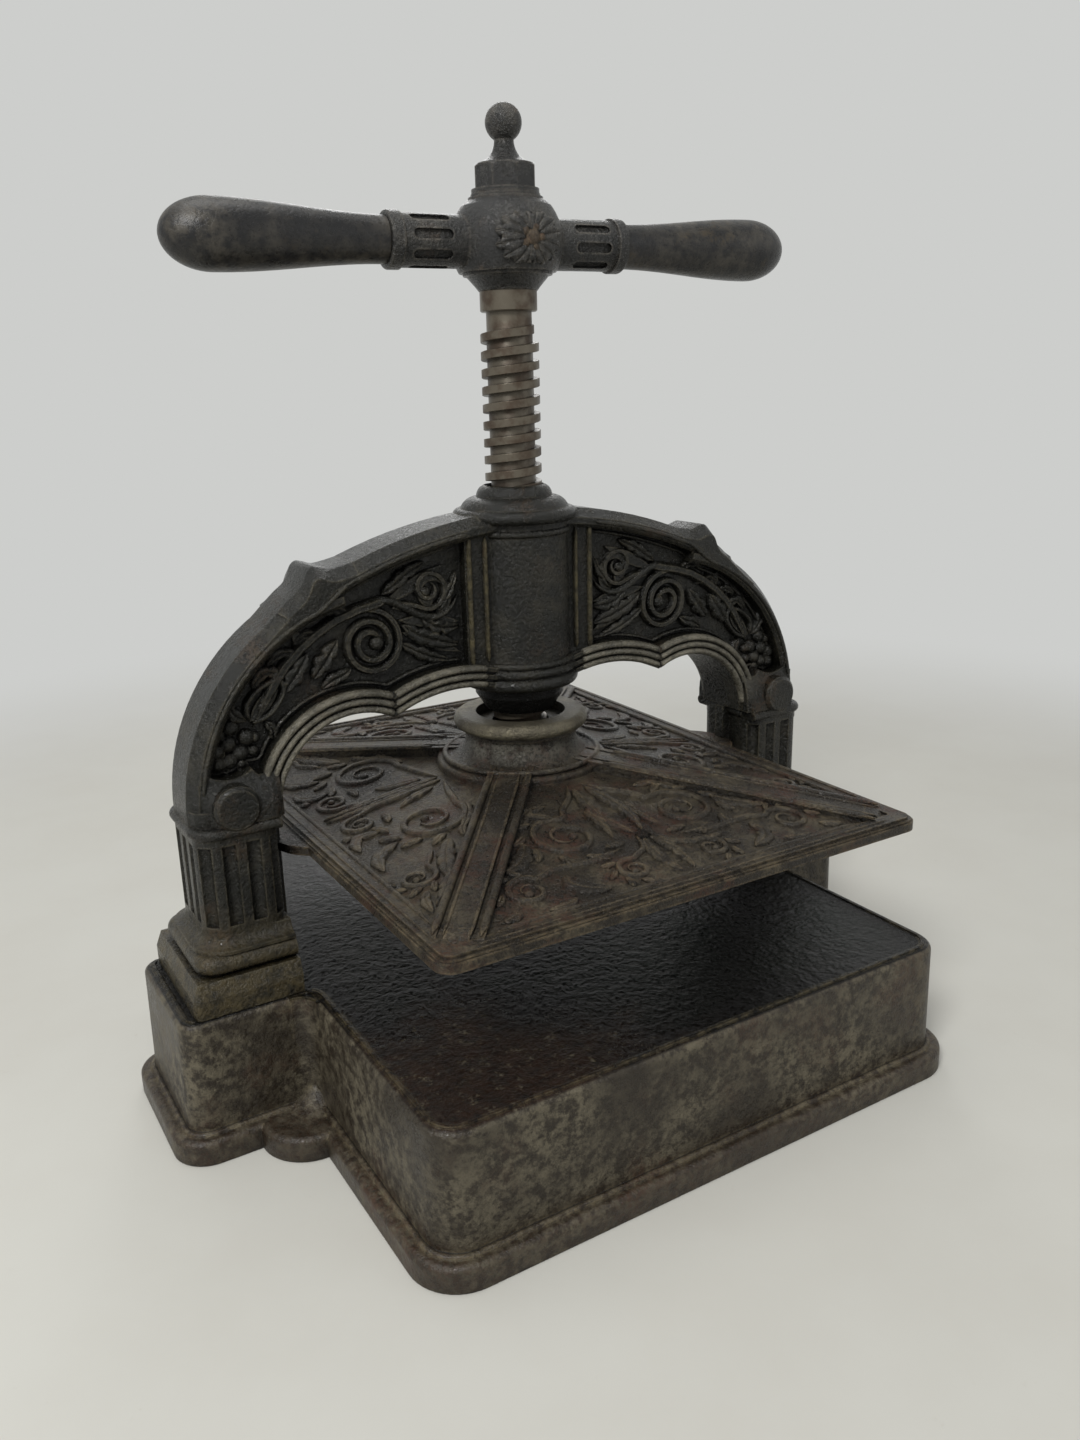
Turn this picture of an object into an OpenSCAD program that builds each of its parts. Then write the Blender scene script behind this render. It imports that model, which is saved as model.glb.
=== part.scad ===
// Cast-iron book press: a hollow bed casting, a moulded arch bolted to its ears, a square-threaded
// screw turned by a two-handed lever, and a ribbed platen that the screw drives down on the bed.
// Millimetres, +Z up. X runs along the arch and Y across it. The origin is on the floor, under the screw.

/* [Platen] */
// Width of the platen, along the arch
platen_w = 300; // [240:5:340]
// Depth of the platen, across the arch
platen_d = 369; // [300:3:420]
// Thickness of the platen's plate at its field
platen_t = 6; // [5:0.5:9]
// Radius of the platen's corners
platen_corner_r = 9; // [6:0.5:14]
// Width of the raised rim round the platen
rim_w = 12; // [9:0.5:16]
// Height of the raised rim above the field
rim_h = 1.5; // [1:0.25:3]
// Width of each diagonal rib
rib_w = 26; // [20:1:32]
// Height of a diagonal rib above the fields
rib_h = 5; // [3:0.5:8]
// Rise of the sloping fields, from the rim to the middle
field_rise = 21; // [12:0.5:26]
// Height of the platen's hub above the field
hub_h = 37.5; // [36:0.5:42]
// Radius of the hub at its foot
hub_r = 52.5; // [50:0.5:56]
// Radius of the hub's neck, under the collar
hub_neck_r = 34; // [33:0.25:36]
// Reach of each guide lug from the platen's edge
lug_reach = 12; // [9:0.5:13]
// Thickness of a guide lug
lug_t = 5; // [4:0.5:6]

/* [Bed] */
// Height of the bed above the floor
base_h = 78; // [66:1:95]
// Width of the floor line beyond the platen, on each side
bed_margin_w = 23; // [21:0.5:30]
// Depth of the floor line beyond the platen, at each end
bed_margin_d = 22.5; // [20:0.5:30]
// Thickness of the bed plate
bed_t = 12; // [9:0.5:16]
// Thickness of the bed's side walls, measured in from the wall's top edge
base_wall = 9; // [7:0.5:12]
// Radius of the bed's corners at the floor
base_corner_r = 27; // [24:0.5:34]
// Radius of the ears' corners at the floor
ear_corner_r = 20; // [18:0.5:26]
// How far the walls stand in from the floor line at the top
wall_lean = 9.5; // [9:0.25:11]
// Width of the flange at the foot of the walls
flange_w = 8.5; // [7:0.25:9]
// Height of the straight foot under the flange moulding
foot_h = 10; // [8:0.5:14]
// Radius of the quarter round on the flange
flange_round = 3.5; // [3:0.25:4]
// Radius of the wall's rounded top edge
edge_round = 4; // [3:0.25:5]
// Width of the raised line round the bed
border_w = 2; // [1.5:0.25:3]
// Height of the raised line round the bed
border_h = 0.8; // [0.5:0.1:1.5]
// Radius of the upright hollow where an ear meets the bed
fillet_r = 11; // [8:0.5:14]
// Floor line of an ear beyond the column's plinth, sideways
ear_margin_w = 18.5; // [16:0.5:24]
// Floor line of an ear beyond the column's plinth, to the front and back
ear_margin_d = 12.5; // [11:0.5:18]
// Radius of the round lobe in the corner between an ear and the bed
lobe_r = 27; // [24:0.5:30]

/* [Columns] */
// Gap between the platen and a column's inner face
side_gap = 15; // [14:0.5:20]
// Width of a column
col_w = 45; // [42:1:50]
// Depth of a column
col_d = 56; // [50:1:64]
// Radius of a column's corners
col_corner_r = 12; // [10:0.5:15]
// How far a plinth stands out from its column, sideways
plinth_out_w = 14; // [12:0.5:16]
// How far a plinth stands out from its column, to the front and back
plinth_out_d = 13.5; // [11:0.5:16]
// Height of a plinth's upright face
plinth_h = 10.5; // [8:0.5:14]
// Height of the mouldings between plinth and shaft
foot_mould_h = 28; // [24:0.5:32]
// Radius of a flute
flute_r = 4; // [3:0.25:4.5]
// Distance from one flute to the next
flute_pitch = 13; // [11:0.25:14]
// Radius of the ring under the arch
ring_r = 3; // [2.5:0.25:4]
// Radius of the round boss over the ring
disc_r = 12.5; // [10:0.5:14]
// Width of a guide rib on the column's inner face
guide_w = 8; // [6:0.5:10]
// Height of a guide rib off the column's inner face
guide_h = 5.8; // [4.8:0.2:7]

/* [Arch] */
// Height of the arch from its underside to its crown
bridge_h = 102; // [94:1:112]
// Rise from the column rings to the arch's underside
arch_rise = 46; // [43:0.5:50]
// Thickness of the arch's sunk panels
web_t = 20; // [14:0.5:26]
// Height of the scrolls on the sunk panels
scroll_h = 2.6; // [1.5:0.1:4]
// Width of the scrolls on the sunk panels
scroll_w = 3; // [2:0.25:4]
// Thickness of the arch over its mouldings
arch_t = 42; // [36:1:46]
// Width of the bevelled rim along the outside
outer_rim_w = 11; // [9:0.5:14]
// Width of the flat ridge along the outside
ridge_w = 27; // [20:1:32]
// Radius of one reed along the underside
reed_r = 2.2; // [1.8:0.1:2.5]
// Radius of the arch's shoulders
shoulder_r = 116.5; // [108:0.5:122]
// Radius of the arch's crown
crown_r = 304; // [280:2:340]
// Distance of the pointed cusps from the middle
cusp_x = 127; // [115:1:135]
// Height of a cusp above the crown's curve
cusp_h = 7; // [4:0.5:9]
// Radius of the opening's upper corners
void_corner_r = 46; // [42:0.5:50]
// Radius of the shallow bows beside the boss
bow_r = 86; // [80:1:95]

/* [Boss and nut] */
// Radius of the boss that holds the nut
boss_r = 31; // [29:0.5:34]
// Radius of the boss's cap ring
cap_ring_r = 36.3; // [34.5:0.1:38.5]
// Height of the cap above the arch's crown
cap_rise = 13.3; // [11:0.1:16]
// How far the boss hangs below the arch's underside
boss_drop = 2.7; // [1:0.1:5]
// Radius of the nut's body
nut_r = 22; // [20.5:0.25:24]
// Radius of the nut's flange under the boss
nut_flange_r = 27; // [26.5:0.25:28.5]
// Height of the straight part of the nut's flange
nut_flange_h = 6; // [5:0.5:8]
// Height of the tapered end of the nut
nut_taper_h = 10; // [7:0.5:13]
// Thickness of the boss's cap over the nut
cap_t = 15; // [13:0.5:18]
// Radius of the dowels that stop the nut from turning
dowel_r = 1.6; // [1.2:0.1:1.8]

/* [Screw] */
// Radius of the screw over its thread
screw_r = 16.5; // [15:0.25:18]
// Room between the bed and the platen, as the press stands
daylight = 70; // [50:1:110]
// Lift that is left above the platen, as the press stands
lift_left = 8; // [6:0.5:10]
// Radius of the screw's foot in the platen's hub
foot_r = 24; // [22:0.5:26]
// Height of the screw's foot
foot_t = 11; // [8:0.5:14]
// Radius of the pivot under the foot
pivot_r = 16; // [13:0.5:18]
// Radius of the plain neck under the lever
neck_r = 12.8; // [11.5:0.1:14]
// Length of the plain neck under the lever
neck_h = 11; // [8:0.5:14]
// Height of the shoulder that carries the lever
shoulder_h = 11; // [8:0.5:14]
// Thread left over the boss with the platen down
thread_spare = 13; // [6:0.5:24]
// Side of the square that drives the lever
square_w = 20; // [16:0.5:22]
// Radius of the stud that the finial nut is screwed on
stud_r = 7; // [6:0.25:8]
// Thickness of the pad under the screw
pad_t = 2.5; // [2:0.25:4]

/* [Collar] */
// Radius of the collar over its rim
collar_r = 41; // [39:0.5:44]
// Radius of the collar's round rim in section
collar_round = 4.5; // [3.5:0.1:5]
// Depth of the hollow in the collar's top
recess_h = 6; // [4:0.25:8]
// Length of the spigot that is screwed into the hub
spigot_h = 8.5; // [7:0.5:10]
// Radius of the grub screw that locks the collar
grub_r = 2.5; // [2:0.25:3]

/* [Lever] */
// Length of the lever over its grips
lever_l = 371; // [320:5:420]
// Angle at which the lever stands
lever_angle = -4.5; // [-90:0.5:90]
// Radius of the lever's round hub
bulb_r = 31; // [28:0.5:33]
// Height of the lever's hub
bulb_h = 49; // [44:1:52]
// Reach of the sockets from the middle
socket_l = 71; // [62:1:80]
// Radius of the sockets
socket_r = 13.6; // [13:0.2:15]
// Height of the lip on a socket's end
lip_h = 1.1; // [0.6:0.1:1.6]
// Length of the slots round a socket
slot_l = 22; // [16:1:26]
// Width of a slot
slot_w = 5; // [3.5:0.25:5.5]
// Slots round each socket
slot_n = 8; // [6:1:9]
// Radius of a grip at its neck
grip_neck_r = 12; // [10.5:0.25:12.75]
// Largest radius of a grip
grip_r = 17.4; // [15.5:0.1:20]
// Radius of a grip's tang in its socket
tang_r = 8.5; // [7:0.25:9.5]
// Length of a grip's tang
tang_l = 32; // [24:1:36]
// Radius of the pins that hold the grips
grip_pin_r = 1.8; // [1.4:0.1:2.2]

/* [Finial] */
// Width of the finial nut across its flats
finial_af = 32; // [28:0.5:36]
// Height of the finial nut's flats
finial_flat_h = 12.5; // [10:0.5:15]
// Height of the taper from the flats to the neck
finial_taper_h = 12; // [9:0.5:15]
// Radius of the finial's neck
finial_neck_r = 5.3; // [4.5:0.1:6.5]
// Radius of the ball
ball_r = 9.9; // [8.5:0.1:11.5]
// Flats on the finial nut
finial_sides = 8; // [6:2:8]
// Angle at which the finial nut stands
finial_angle = -7.5; // [-22:0.5:22]
// Thickness of the washer under the finial nut
washer_t = 2.5; // [1.5:0.25:4]
// Radius of the washer under the finial nut
washer_r = 18.5; // [17:0.25:19.5]

/* [Bolts] */
// Radius of the bolts that hold the columns
bolt_r = 6; // [5:0.5:7]
// Distance between the two bolts of a column
bolt_pitch = 44; // [38:1:48]
// Width of a bolt's head across its flats
bolt_af = 19; // [17:0.5:22]
// Height of a bolt's head
bolt_head_h = 8; // [6:0.5:9]
// Length of a bolt's shank inside the column
bolt_grip = 26; // [18:1:34]
// Radius of a bolt's washer
bolt_washer_r = 12; // [11.5:0.25:14]
// Thickness of a bolt's washer
bolt_washer_t = 2; // [1.5:0.25:3]

/* [Fits] */
// Radial clearance of a turning fit
run_fit = 0.05; // [0.02:0.01:0.1]
// Radial clearance of a pressed or screwed fit
seat_fit = 0.02; // [0.01:0.01:0.05]
// End play of the screw's foot
end_play = 0.2; // [0.1:0.05:0.3]
// Clearance of the platen's lugs on their guide ribs
guide_fit = 0.5; // [0.35:0.05:0.9]

/* [Hidden] */
$fn = 64;
eps = 0.01;

// Plan of the bed and its ears
col_x = platen_w / 2 + side_gap + col_w / 2;
inner_x = col_x - col_w / 2;
base_hx = platen_w / 2 + bed_margin_w;
base_hy = platen_d / 2 + bed_margin_d;
plinth_hx = col_w / 2 + plinth_out_w;
plinth_hy = col_d / 2 + plinth_out_d;
ear_hx = col_x + plinth_hx + ear_margin_w;
ear_hy = plinth_hy + ear_margin_d;
flange_h = foot_h + flange_round;
border_inset = wall_lean + edge_round;
cavity_inset = wall_lean + base_wall;
cavity_top = base_h - bed_t;

// Heights from the bed to the crown
platen_z = base_h + daylight;
field_z = platen_z + platen_t;
hub_top_z = field_z + hub_h;
collar_z = hub_top_z - spigot_h;
collar_top_z = hub_top_z + 2 * collar_round;
collar_clear = 0.5;
nut_z = collar_top_z - recess_h + lift_left + collar_clear;
boss_z = nut_z + nut_taper_h + nut_flange_h;
bridge_z = boss_z + boss_drop;
crown_z = bridge_z + bridge_h;
cap_z = crown_z + cap_rise;
spring_z = bridge_z - arch_rise;
nut_top_z = cap_z - cap_t;

// Centres of the arch's curves, in the plane of the arch
void_hx = inner_x - ring_r - 1;
void_cx = void_hx - void_corner_r;
void_cz = spring_z;
bow_cx = (boss_r + void_cx) / 2 - 21;
bow_cz = bridge_z + 4 - bow_r;
arch_hx = col_x + col_w / 2 + 0.5;
shoulder_cx = arch_hx - shoulder_r;
shoulder_cz = spring_z + ring_r;
crown_cz = crown_z - crown_r;
cusp_z = crown_cz + sqrt(crown_r * crown_r - cusp_x * cusp_x);
reed_band = 6 * reed_r;
panel_edge_w = 12;
dowel_l = nut_flange_h * 2;

// Reach of a diagonal rib on the platen
rib_x = platen_w / 2 - rim_w;
rib_y = platen_d / 2 - rim_w;
hip_l = sqrt(rib_x * rib_x + rib_y * rib_y);
rib_l = hip_l - rib_w * 0.5;

// Screw, collar and lever
pocket_z = collar_z - foot_t - 2 * end_play;
foot_z = pocket_z + end_play;
pad_z = field_z + 2;
pivot_z = pad_z + pad_t + end_play;
foot_run_r = foot_r - run_fit;
pivot_run_r = pivot_r - run_fit;
screw_run_r = screw_r;
spigot_r = foot_r + 6;
recess_r = spigot_r - 2.5;
collar_bore_r = screw_r + 0.8;
shoulder_z = cap_z + daylight + thread_spare + neck_h;
lever_z = shoulder_z + shoulder_h;
lever_axis_z = lever_z + bulb_h / 2;
lever_top_z = lever_z + bulb_h;
finial_z = lever_top_z + washer_t;
ball_z = finial_z + finial_flat_h + finial_taper_h + ball_r * 0.85;
stud_top_z = finial_z + finial_flat_h;
grip_end_r = grip_r * 0.98;
grip_max_x = lever_l / 2 - grip_end_r * 1.5;

iron_black = [0.13, 0.13, 0.12];
iron_brown = [0.20, 0.16, 0.12];
steel_grey = [0.36, 0.35, 0.32];
bronze = [0.45, 0.33, 0.18];
grip_black = [0.11, 0.11, 0.10];

// Rectangle with round corners, centred
module rounded_rect(hx, hy, r) {
    square([2 * hx, 2 * (hy - r)], center = true);
    square([2 * (hx - r), 2 * hy], center = true);
    for (sx = [-1, 1], sy = [-1, 1])
        translate([sx * (hx - r), sy * (hy - r)]) circle(r = r);
}

// Quarter of a disc
module quarter_round(r) {
    intersection() {
        circle(r = r);
        square(r);
    }
}

// Slab with round corners whose edge follows a profile. The child is drawn with x as the distance
// from a corner's centre, so that x = r is the slab's outline, and y as the height.
module moulded_slab(hx, hy, r, h) {
    translate([0, 0, h / 2]) cube([2 * (hx - r), 2 * (hy - r), h], center = true);
    for (sx = [-1, 1], sy = [-1, 1])
        translate([sx * (hx - r), sy * (hy - r), 0])
            rotate([0, 0, sx > 0 ? (sy > 0 ? 0 : 270) : (sy > 0 ? 90 : 180)])
                rotate_extrude(angle = 90) children();
    for (s = [0, 180]) {
        rotate([0, 0, s]) translate([hx - r, hy - r, 0]) rotate([90, 0, 0])
            linear_extrude(height = 2 * (hy - r)) children();
        rotate([0, 0, s + 90]) translate([hy - r, hx - r, 0]) rotate([90, 0, 0])
            linear_extrude(height = 2 * (hx - r)) children();
    }
}

// Edge of the flange: a straight foot under a quarter round
module flange_profile(r) {
    square([r, foot_h]);
    square([r - flange_round, flange_h]);
    translate([r - flange_round, foot_h]) quarter_round(flange_round);
}

// Edge of the bed: the flange with a bead, a leaning wall and a rounded top
module bed_profile(r) {
    flange_profile(r);
    bead_r = flange_round * 0.5;
    translate([r - flange_w + bead_r * 0.6, flange_h]) circle(r = bead_r);
    polygon([
        [0, 0], [r - flange_w, 0], [r - flange_w, flange_h],
        [r - wall_lean, base_h - edge_round], [r - wall_lean - edge_round, base_h - edge_round],
        [r - wall_lean - edge_round, base_h], [0, base_h]
    ]);
    translate([r - wall_lean - edge_round, base_h - edge_round]) quarter_round(edge_round);
}

// Plan of the bed with its ears, drawn in from the floor line
module bed_plan(inset) {
    rounded_rect(base_hx - inset, base_hy - inset, base_corner_r - inset);
    rounded_rect(ear_hx - inset, ear_hy - inset, max(ear_corner_r - inset, 1));
    for (sx = [-1, 1], sy = [-1, 1])
        translate([sx * (base_hx - inset), sy * (ear_hy - inset)])
            corner_hollow(sx, sy);
}

// Hollow that rounds an inner corner
module corner_hollow(sx, sy) {
    difference() {
        translate([sx * (fillet_r / 2 - 1), sy * (fillet_r / 2 - 1)])
            square(fillet_r + 2, center = true);
        translate([sx * fillet_r, sy * fillet_r]) circle(r = fillet_r);
        translate([sx * 2 * fillet_r, 0]) square([2 * fillet_r, 4 * fillet_r], center = true);
        translate([0, sy * 2 * fillet_r]) square([4 * fillet_r, 2 * fillet_r], center = true);
    }
}

// Places something at each column's foot bolts
module at_bolts() {
    for (sx = [-1, 1], sy = [-1, 1])
        translate([sx * col_x, sy * bolt_pitch / 2, 0]) children();
}

module base_casting() color(iron_black) {
    wall_inset = (flange_w + wall_lean) / 2;
    difference() {
        union() {
            moulded_slab(base_hx, base_hy, base_corner_r, base_h) bed_profile(base_corner_r);
            moulded_slab(ear_hx, ear_hy, ear_corner_r, base_h) bed_profile(ear_corner_r);
            for (sx = [-1, 1], sy = [-1, 1]) {
                translate([sx * (base_hx - wall_inset), sy * (ear_hy - wall_inset), 0])
                    linear_extrude(height = base_h) corner_hollow(sx, sy);
                corner_lobe(sx, sy);
            }
            translate([0, 0, base_h - 1]) linear_extrude(height = 1 + border_h) difference() {
                bed_plan(border_inset);
                bed_plan(border_inset + border_w);
                for (s = [-1, 1]) translate([s * col_x, 0])
                    square(2 * [plinth_hx + border_h, plinth_hy + border_h], center = true);
            }
        }
        translate([0, 0, -1]) linear_extrude(height = cavity_top + 1) bed_plan(cavity_inset);
        at_bolts() cylinder(r = bolt_r + 0.5, h = base_h + 1);
    }
}

// Round lobe of the flange in the corner between an ear and the bed, with a hollow spur up the wall
module corner_lobe(sx, sy) {
    spur_r = lobe_r - 2 * flange_round;
    translate([sx * base_hx, sy * ear_hy, 0]) rotate_extrude() flange_profile(lobe_r);
    translate([sx * (base_hx - flange_w), sy * (ear_hy - flange_w), flange_h - eps])
        rotate_extrude() difference() {
            square([spur_r, spur_r]);
            translate([spur_r + 1, spur_r]) circle(r = spur_r);
        }
}

// Outline of the arch above the rings, drawn in by inset
module arch_outer(inset) {
    intersection() {
        translate([0, crown_cz]) circle(r = crown_r - inset, $fn = 256);
        translate([-cusp_x, spring_z]) square([2 * cusp_x, crown_r]);
    }
    for (s = [-1, 1])
        intersection() {
            translate([s * shoulder_cx, shoulder_cz]) circle(r = shoulder_r - inset, $fn = 128);
            translate([-arch_hx, spring_z]) square([2 * arch_hx, crown_r]);
        }
}

// Opening under the arch, drawn out by grow
module arch_void(grow) {
    low = base_h;
    translate([-void_hx - grow, low]) square([2 * (void_hx + grow), void_cz - low]);
    translate([-void_cx, low]) square([2 * void_cx, void_cz + void_corner_r * 0.6 - low]);
    translate([-boss_r, low]) square([2 * boss_r, boss_z - low]);
    for (s = [-1, 1]) {
        translate([s * void_cx, void_cz]) circle(r = void_corner_r + grow, $fn = 96);
        intersection() {
            translate([s * bow_cx, bow_cz]) circle(r = bow_r + grow, $fn = 128);
            translate([s * (cusp_x + boss_r / 2) / 2, bridge_z])
                square([cusp_x - boss_r / 2, 2 * void_corner_r], center = true);
        }
    }
}

// Turns a drawing in the arch's plane into a plate of the given thickness
module arch_plate(t) {
    rotate([90, 0, 0]) linear_extrude(height = t, center = true) children();
}

// Sweeps a profile round an arc in the arch's plane, from angle a to angle b
module arch_sweep(cx, cz, a, b) {
    translate([cx, 0, cz]) rotate([90, 0, 0]) rotate([0, 0, a])
        rotate_extrude(angle = b - a, $fn = 128) children();
}

// Bevelled rim along the outside of the arch, at radius r
module rim_profile(r) {
    bevel = (arch_t - ridge_w) / 2;
    polygon([
        [r - outer_rim_w, -arch_t / 2 + 2], [r - outer_rim_w + 2, -arch_t / 2],
        [r - bevel * 0.7, -arch_t / 2], [r, -ridge_w / 2],
        [r, ridge_w / 2], [r - bevel * 0.7, arch_t / 2],
        [r - outer_rim_w + 2, arch_t / 2], [r - outer_rim_w, arch_t / 2 - 2]
    ]);
}

// Band of the arch's underside between two distances from the opening, of the given thickness
module reed_band_plate(near, far, t) {
    arch_plate(t) intersection() {
        difference() {
            arch_void(far);
            arch_void(near);
        }
        arch_outer(1);
    }
}

// Web, rims and reeds of the arch
module bridge() {
    crown_a = asin(cusp_x / crown_r);
    shoulder_a = acos((cusp_x - shoulder_cx) / shoulder_r) + 4;
    shoulder_low = asin((spring_z - shoulder_cz) / shoulder_r);
    edge_z = bow_cz + bow_r + reed_band / 2;
    edge_top = crown_z - outer_rim_w / 2;
    lap = 3;
    arch_plate(web_t) difference() {
        arch_outer(lap);
        arch_void(lap);
    }
    arch_sweep(0, crown_cz, 90 - crown_a, 90 + crown_a) rim_profile(crown_r);
    reed_band_plate(0, reed_band, arch_t - 2 * reed_r);
    for (i = [0 : 2])
        reed_band_plate((2 * i + 0.4) * reed_r, (2 * i + 1.6) * reed_r, arch_t);
    for (s = [0, 1]) mirror([s, 0, 0]) {
        arch_sweep(shoulder_cx, shoulder_cz, shoulder_low, shoulder_a) rim_profile(shoulder_r);
        cusp(crown_a);
        panel_scrolls();
        translate([boss_r / 2, -arch_t / 2 + 4, edge_z])
            cube([boss_r / 2 + panel_edge_w, arch_t - 8, edge_top - edge_z]);
    }
}

// Pointed cusp on the outside of the arch, a little thinner than the rim and bevelled like it
module cusp(lean) {
    thinner = 0.7;
    side = arch_t / 2 - thinner;
    flat = ridge_w / 2 - thinner;
    bevel_low = (flat - side) * 0.7 - thinner;
    intersection() {
        arch_plate(arch_t) translate([cusp_x, cusp_z]) polygon(cusp_h * [
            [-1.7, 0.7], [-0.7, 0.3], [0, 0.8], [0.5, 1], [0.9, 0.8], [1.35, -0.1], [1.8, -0.65],
            [2.6, -1.25], [3.6, -2.1], [2.5, -3], [-0.5, -1.2]
        ]);
        translate([cusp_x, 0, cusp_z]) rotate([0, lean, 0]) rotate([90, 0, 90])
            linear_extrude(height = 10 * cusp_h, center = true) polygon([
                [-side, -4 * cusp_h], [side, -4 * cusp_h], [side, bevel_low], [flat, -thinner],
                [flat, 2 * cusp_h], [-flat, 2 * cusp_h], [-flat, -thinner], [-side, bevel_low]
            ]);
    }
}

// Scrolls, leaves and berries of a panel, on both faces of the web
module panel_scrolls() {
    arch_plate(web_t + 2 * scroll_h) intersection() {
        translate([boss_r, bridge_z]) scroll_plan();
        difference() {
            arch_outer(outer_rim_w - 1);
            arch_void(reed_band - 1);
        }
    }
}

// Plan of a panel's scrolls. The origin is beside the boss, at the height of the arch's underside.
module scroll_plan() {
    arc_band([51, -35.3], 95.4, scroll_w + 1, 24, 84);
    arc_band([71.7, 36.3], 19, scroll_w, 90, 180);
    arc_band([68.2, 36.3], 15.5, scroll_w, 180, 360);
    arc_band([71.2, 36.3], 12.5, scroll_w, 0, 180);
    arc_band([68.2, 36.3], 9.5, scroll_w, 180, 360);
    arc_band([71.2, 36.3], 6.5, scroll_w, 0, 180);
    arc_band([31.5, 57.3], 10.8, scroll_w * 0.9, 90, 270);
    arc_band([31.5, 60.6], 7.5, scroll_w * 0.9, -90, 90);
    polygon([[31, 45.4], [31, 47.9], [54, 56.8], [56, 54]]);
    for (eye = [[66, 35.8], [34, 55.5]])
        translate(eye) circle(r = scroll_w);
    for (berry = [[151, 2.3], [144, -4.7], [153, -5.7], [159, -10.7], [148, -11.7], [159.5, -18.2],
                  [153.5, -17.7], [147, -19.7], [156, -25.7], [150, -28.2]])
        translate(berry) circle(r = scroll_w * 1.1);
    leaf_plan([61, 57], [24, 75], 2.4);
    leaf_plan([53, 47], [15, 42], 2.4);
    leaf_plan([51, 40], [15, 24], 2.2);
    leaf_plan([107, 35], [121, 17], 2.6);
    leaf_plan([90, 40], [104, 22], 2.4);
    leaf_plan([109, 38], [113, 50], 1.8);
    leaf_plan([141, 4], [124, 21], 2.6);
}

// Band along an arc from angle a to angle b
module arc_band(centre, r, w, a, b) {
    translate(centre) intersection() {
        difference() {
            circle(r = r + w / 2);
            circle(r = r - w / 2);
        }
        polygon([[0, 0], for (i = [0 : 3]) 2 * r * [cos(a + (b - a) * i / 3), sin(a + (b - a) * i / 3)]]);
    }
}

// Pointed leaf from one point to another, w times as wide as a scroll
module leaf_plan(from, to, w) {
    span = norm(to - from);
    wide = w * scroll_w;
    r = (span * span + wide * wide) / 4 / wide;
    translate((from + to) / 2) rotate([0, 0, atan2(to[1] - from[1], to[0] - from[0])]) intersection() {
        translate([0, r - wide / 2]) circle(r = r);
        translate([0, wide / 2 - r]) circle(r = r);
    }
}

// Boss with three beads at its foot, and a cap of two rounded steps over a ring
module boss() {
    bead_r = 4;
    cap_bead_r = 3.8;
    step_r = (cap_rise + cap_bead_r) * 0.6;
    top_step_r = step_r * 0.65;
    ring_z = cap_z - step_r - top_step_r;
    step_x = cap_ring_r - cap_bead_r - step_r;
    rotate_extrude() {
        translate([0, boss_z]) square([boss_r, ring_z - boss_z]);
        for (b = [[1, 1], [2.65, 0.72], [3.85, 0.5]])
            translate([boss_r + bead_r * 0.2, boss_z + b[0] * bead_r]) circle(r = b[1] * bead_r);
        translate([boss_r, ring_z - 2.4 * cap_bead_r]) circle(r = cap_bead_r * 0.5);
        translate([0, ring_z - cap_bead_r]) square([cap_ring_r - cap_bead_r, cap_bead_r]);
        translate([cap_ring_r - cap_bead_r, ring_z]) circle(r = cap_bead_r);
        translate([0, ring_z]) square([step_x, step_r]);
        translate([step_x, ring_z]) quarter_round(step_r);
        translate([0, ring_z + step_r - 1]) square([step_x - top_step_r, top_step_r + 1]);
        translate([step_x - top_step_r, ring_z + step_r]) quarter_round(top_step_r);
    }
}

// One fluted column on its plinth, on the +X side. Its inner face is flat, for the platen to pass.
module column() {
    shaft_z = base_h + plinth_h + foot_mould_h;
    flute_low = shaft_z + flute_r;
    flute_top = spring_z - 2 * ring_r - flute_r;
    plinth_r = 4;
    translate([0, 0, base_h]) column_slab(col_x + plinth_hx, plinth_hy, plinth_r, plinth_h)
        square([plinth_r, plinth_h]);
    translate([0, 0, base_h + plinth_h]) foot_mouldings(plinth_r);
    shaft(shaft_z, flute_low) column_plan();
    shaft(flute_low, flute_top) difference() {
        column_plan();
        flutes();
    }
    shaft(flute_top, spring_z) column_plan();
    translate([0, 0, spring_z - 2 * ring_r])
        column_slab(col_x + col_w / 2, col_d / 2, col_corner_r, 2 * ring_r) ring_profile(col_corner_r);
    translate([inner_x + ring_r * 0.3, 0, spring_z - ring_r]) rotate([90, 0, 0])
        cylinder(r = ring_r * 1.1, h = col_d - 1.5 * col_corner_r, center = true);
    shaft(spring_z, spring_z + disc_r * 0.7) translate([col_x, 0])
        rounded_rect(col_w / 2 - 0.5, arch_t / 2 + 3, col_corner_r - 2);
    translate([col_x, 0, spring_z + disc_r * 0.75]) rotate([90, 0, 0]) column_disc();
    translate([inner_x - guide_h, -guide_w / 2, base_h])
        cube([guide_h + 2, guide_w, spring_z - base_h]);
}

// Plan of a column's shaft
module column_plan() {
    translate([col_x, 0]) rounded_rect(col_w / 2, col_d / 2, col_corner_r);
}

// Stretch of a shaft from one height to another
module shaft(low, top) {
    translate([0, 0, low]) linear_extrude(height = top - low) children();
}

// Slab round a column, flat on the inner face, whose front, back and outer edges follow a profile.
// The child is drawn as for moulded_slab.
module column_slab(x1, hy, r, h) {
    translate([inner_x, -(hy - r), 0]) cube([x1 - r - inner_x, 2 * (hy - r), h]);
    translate([x1 - r, hy - r, 0]) rotate([90, 0, 0]) linear_extrude(height = 2 * (hy - r)) children();
    for (s = [0, 1]) mirror([0, s, 0]) {
        translate([x1 - r, hy - r, 0]) rotate_extrude(angle = 90) children();
        translate([inner_x, hy - r, 0]) rotate([90, 0, 90])
            linear_extrude(height = x1 - r - inner_x) children();
    }
}

// Half-round ring that stands out from a column
module ring_profile(r) {
    square([r, 2 * ring_r]);
    translate([r - ring_r * 0.2, ring_r]) circle(r = ring_r);
}

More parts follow.
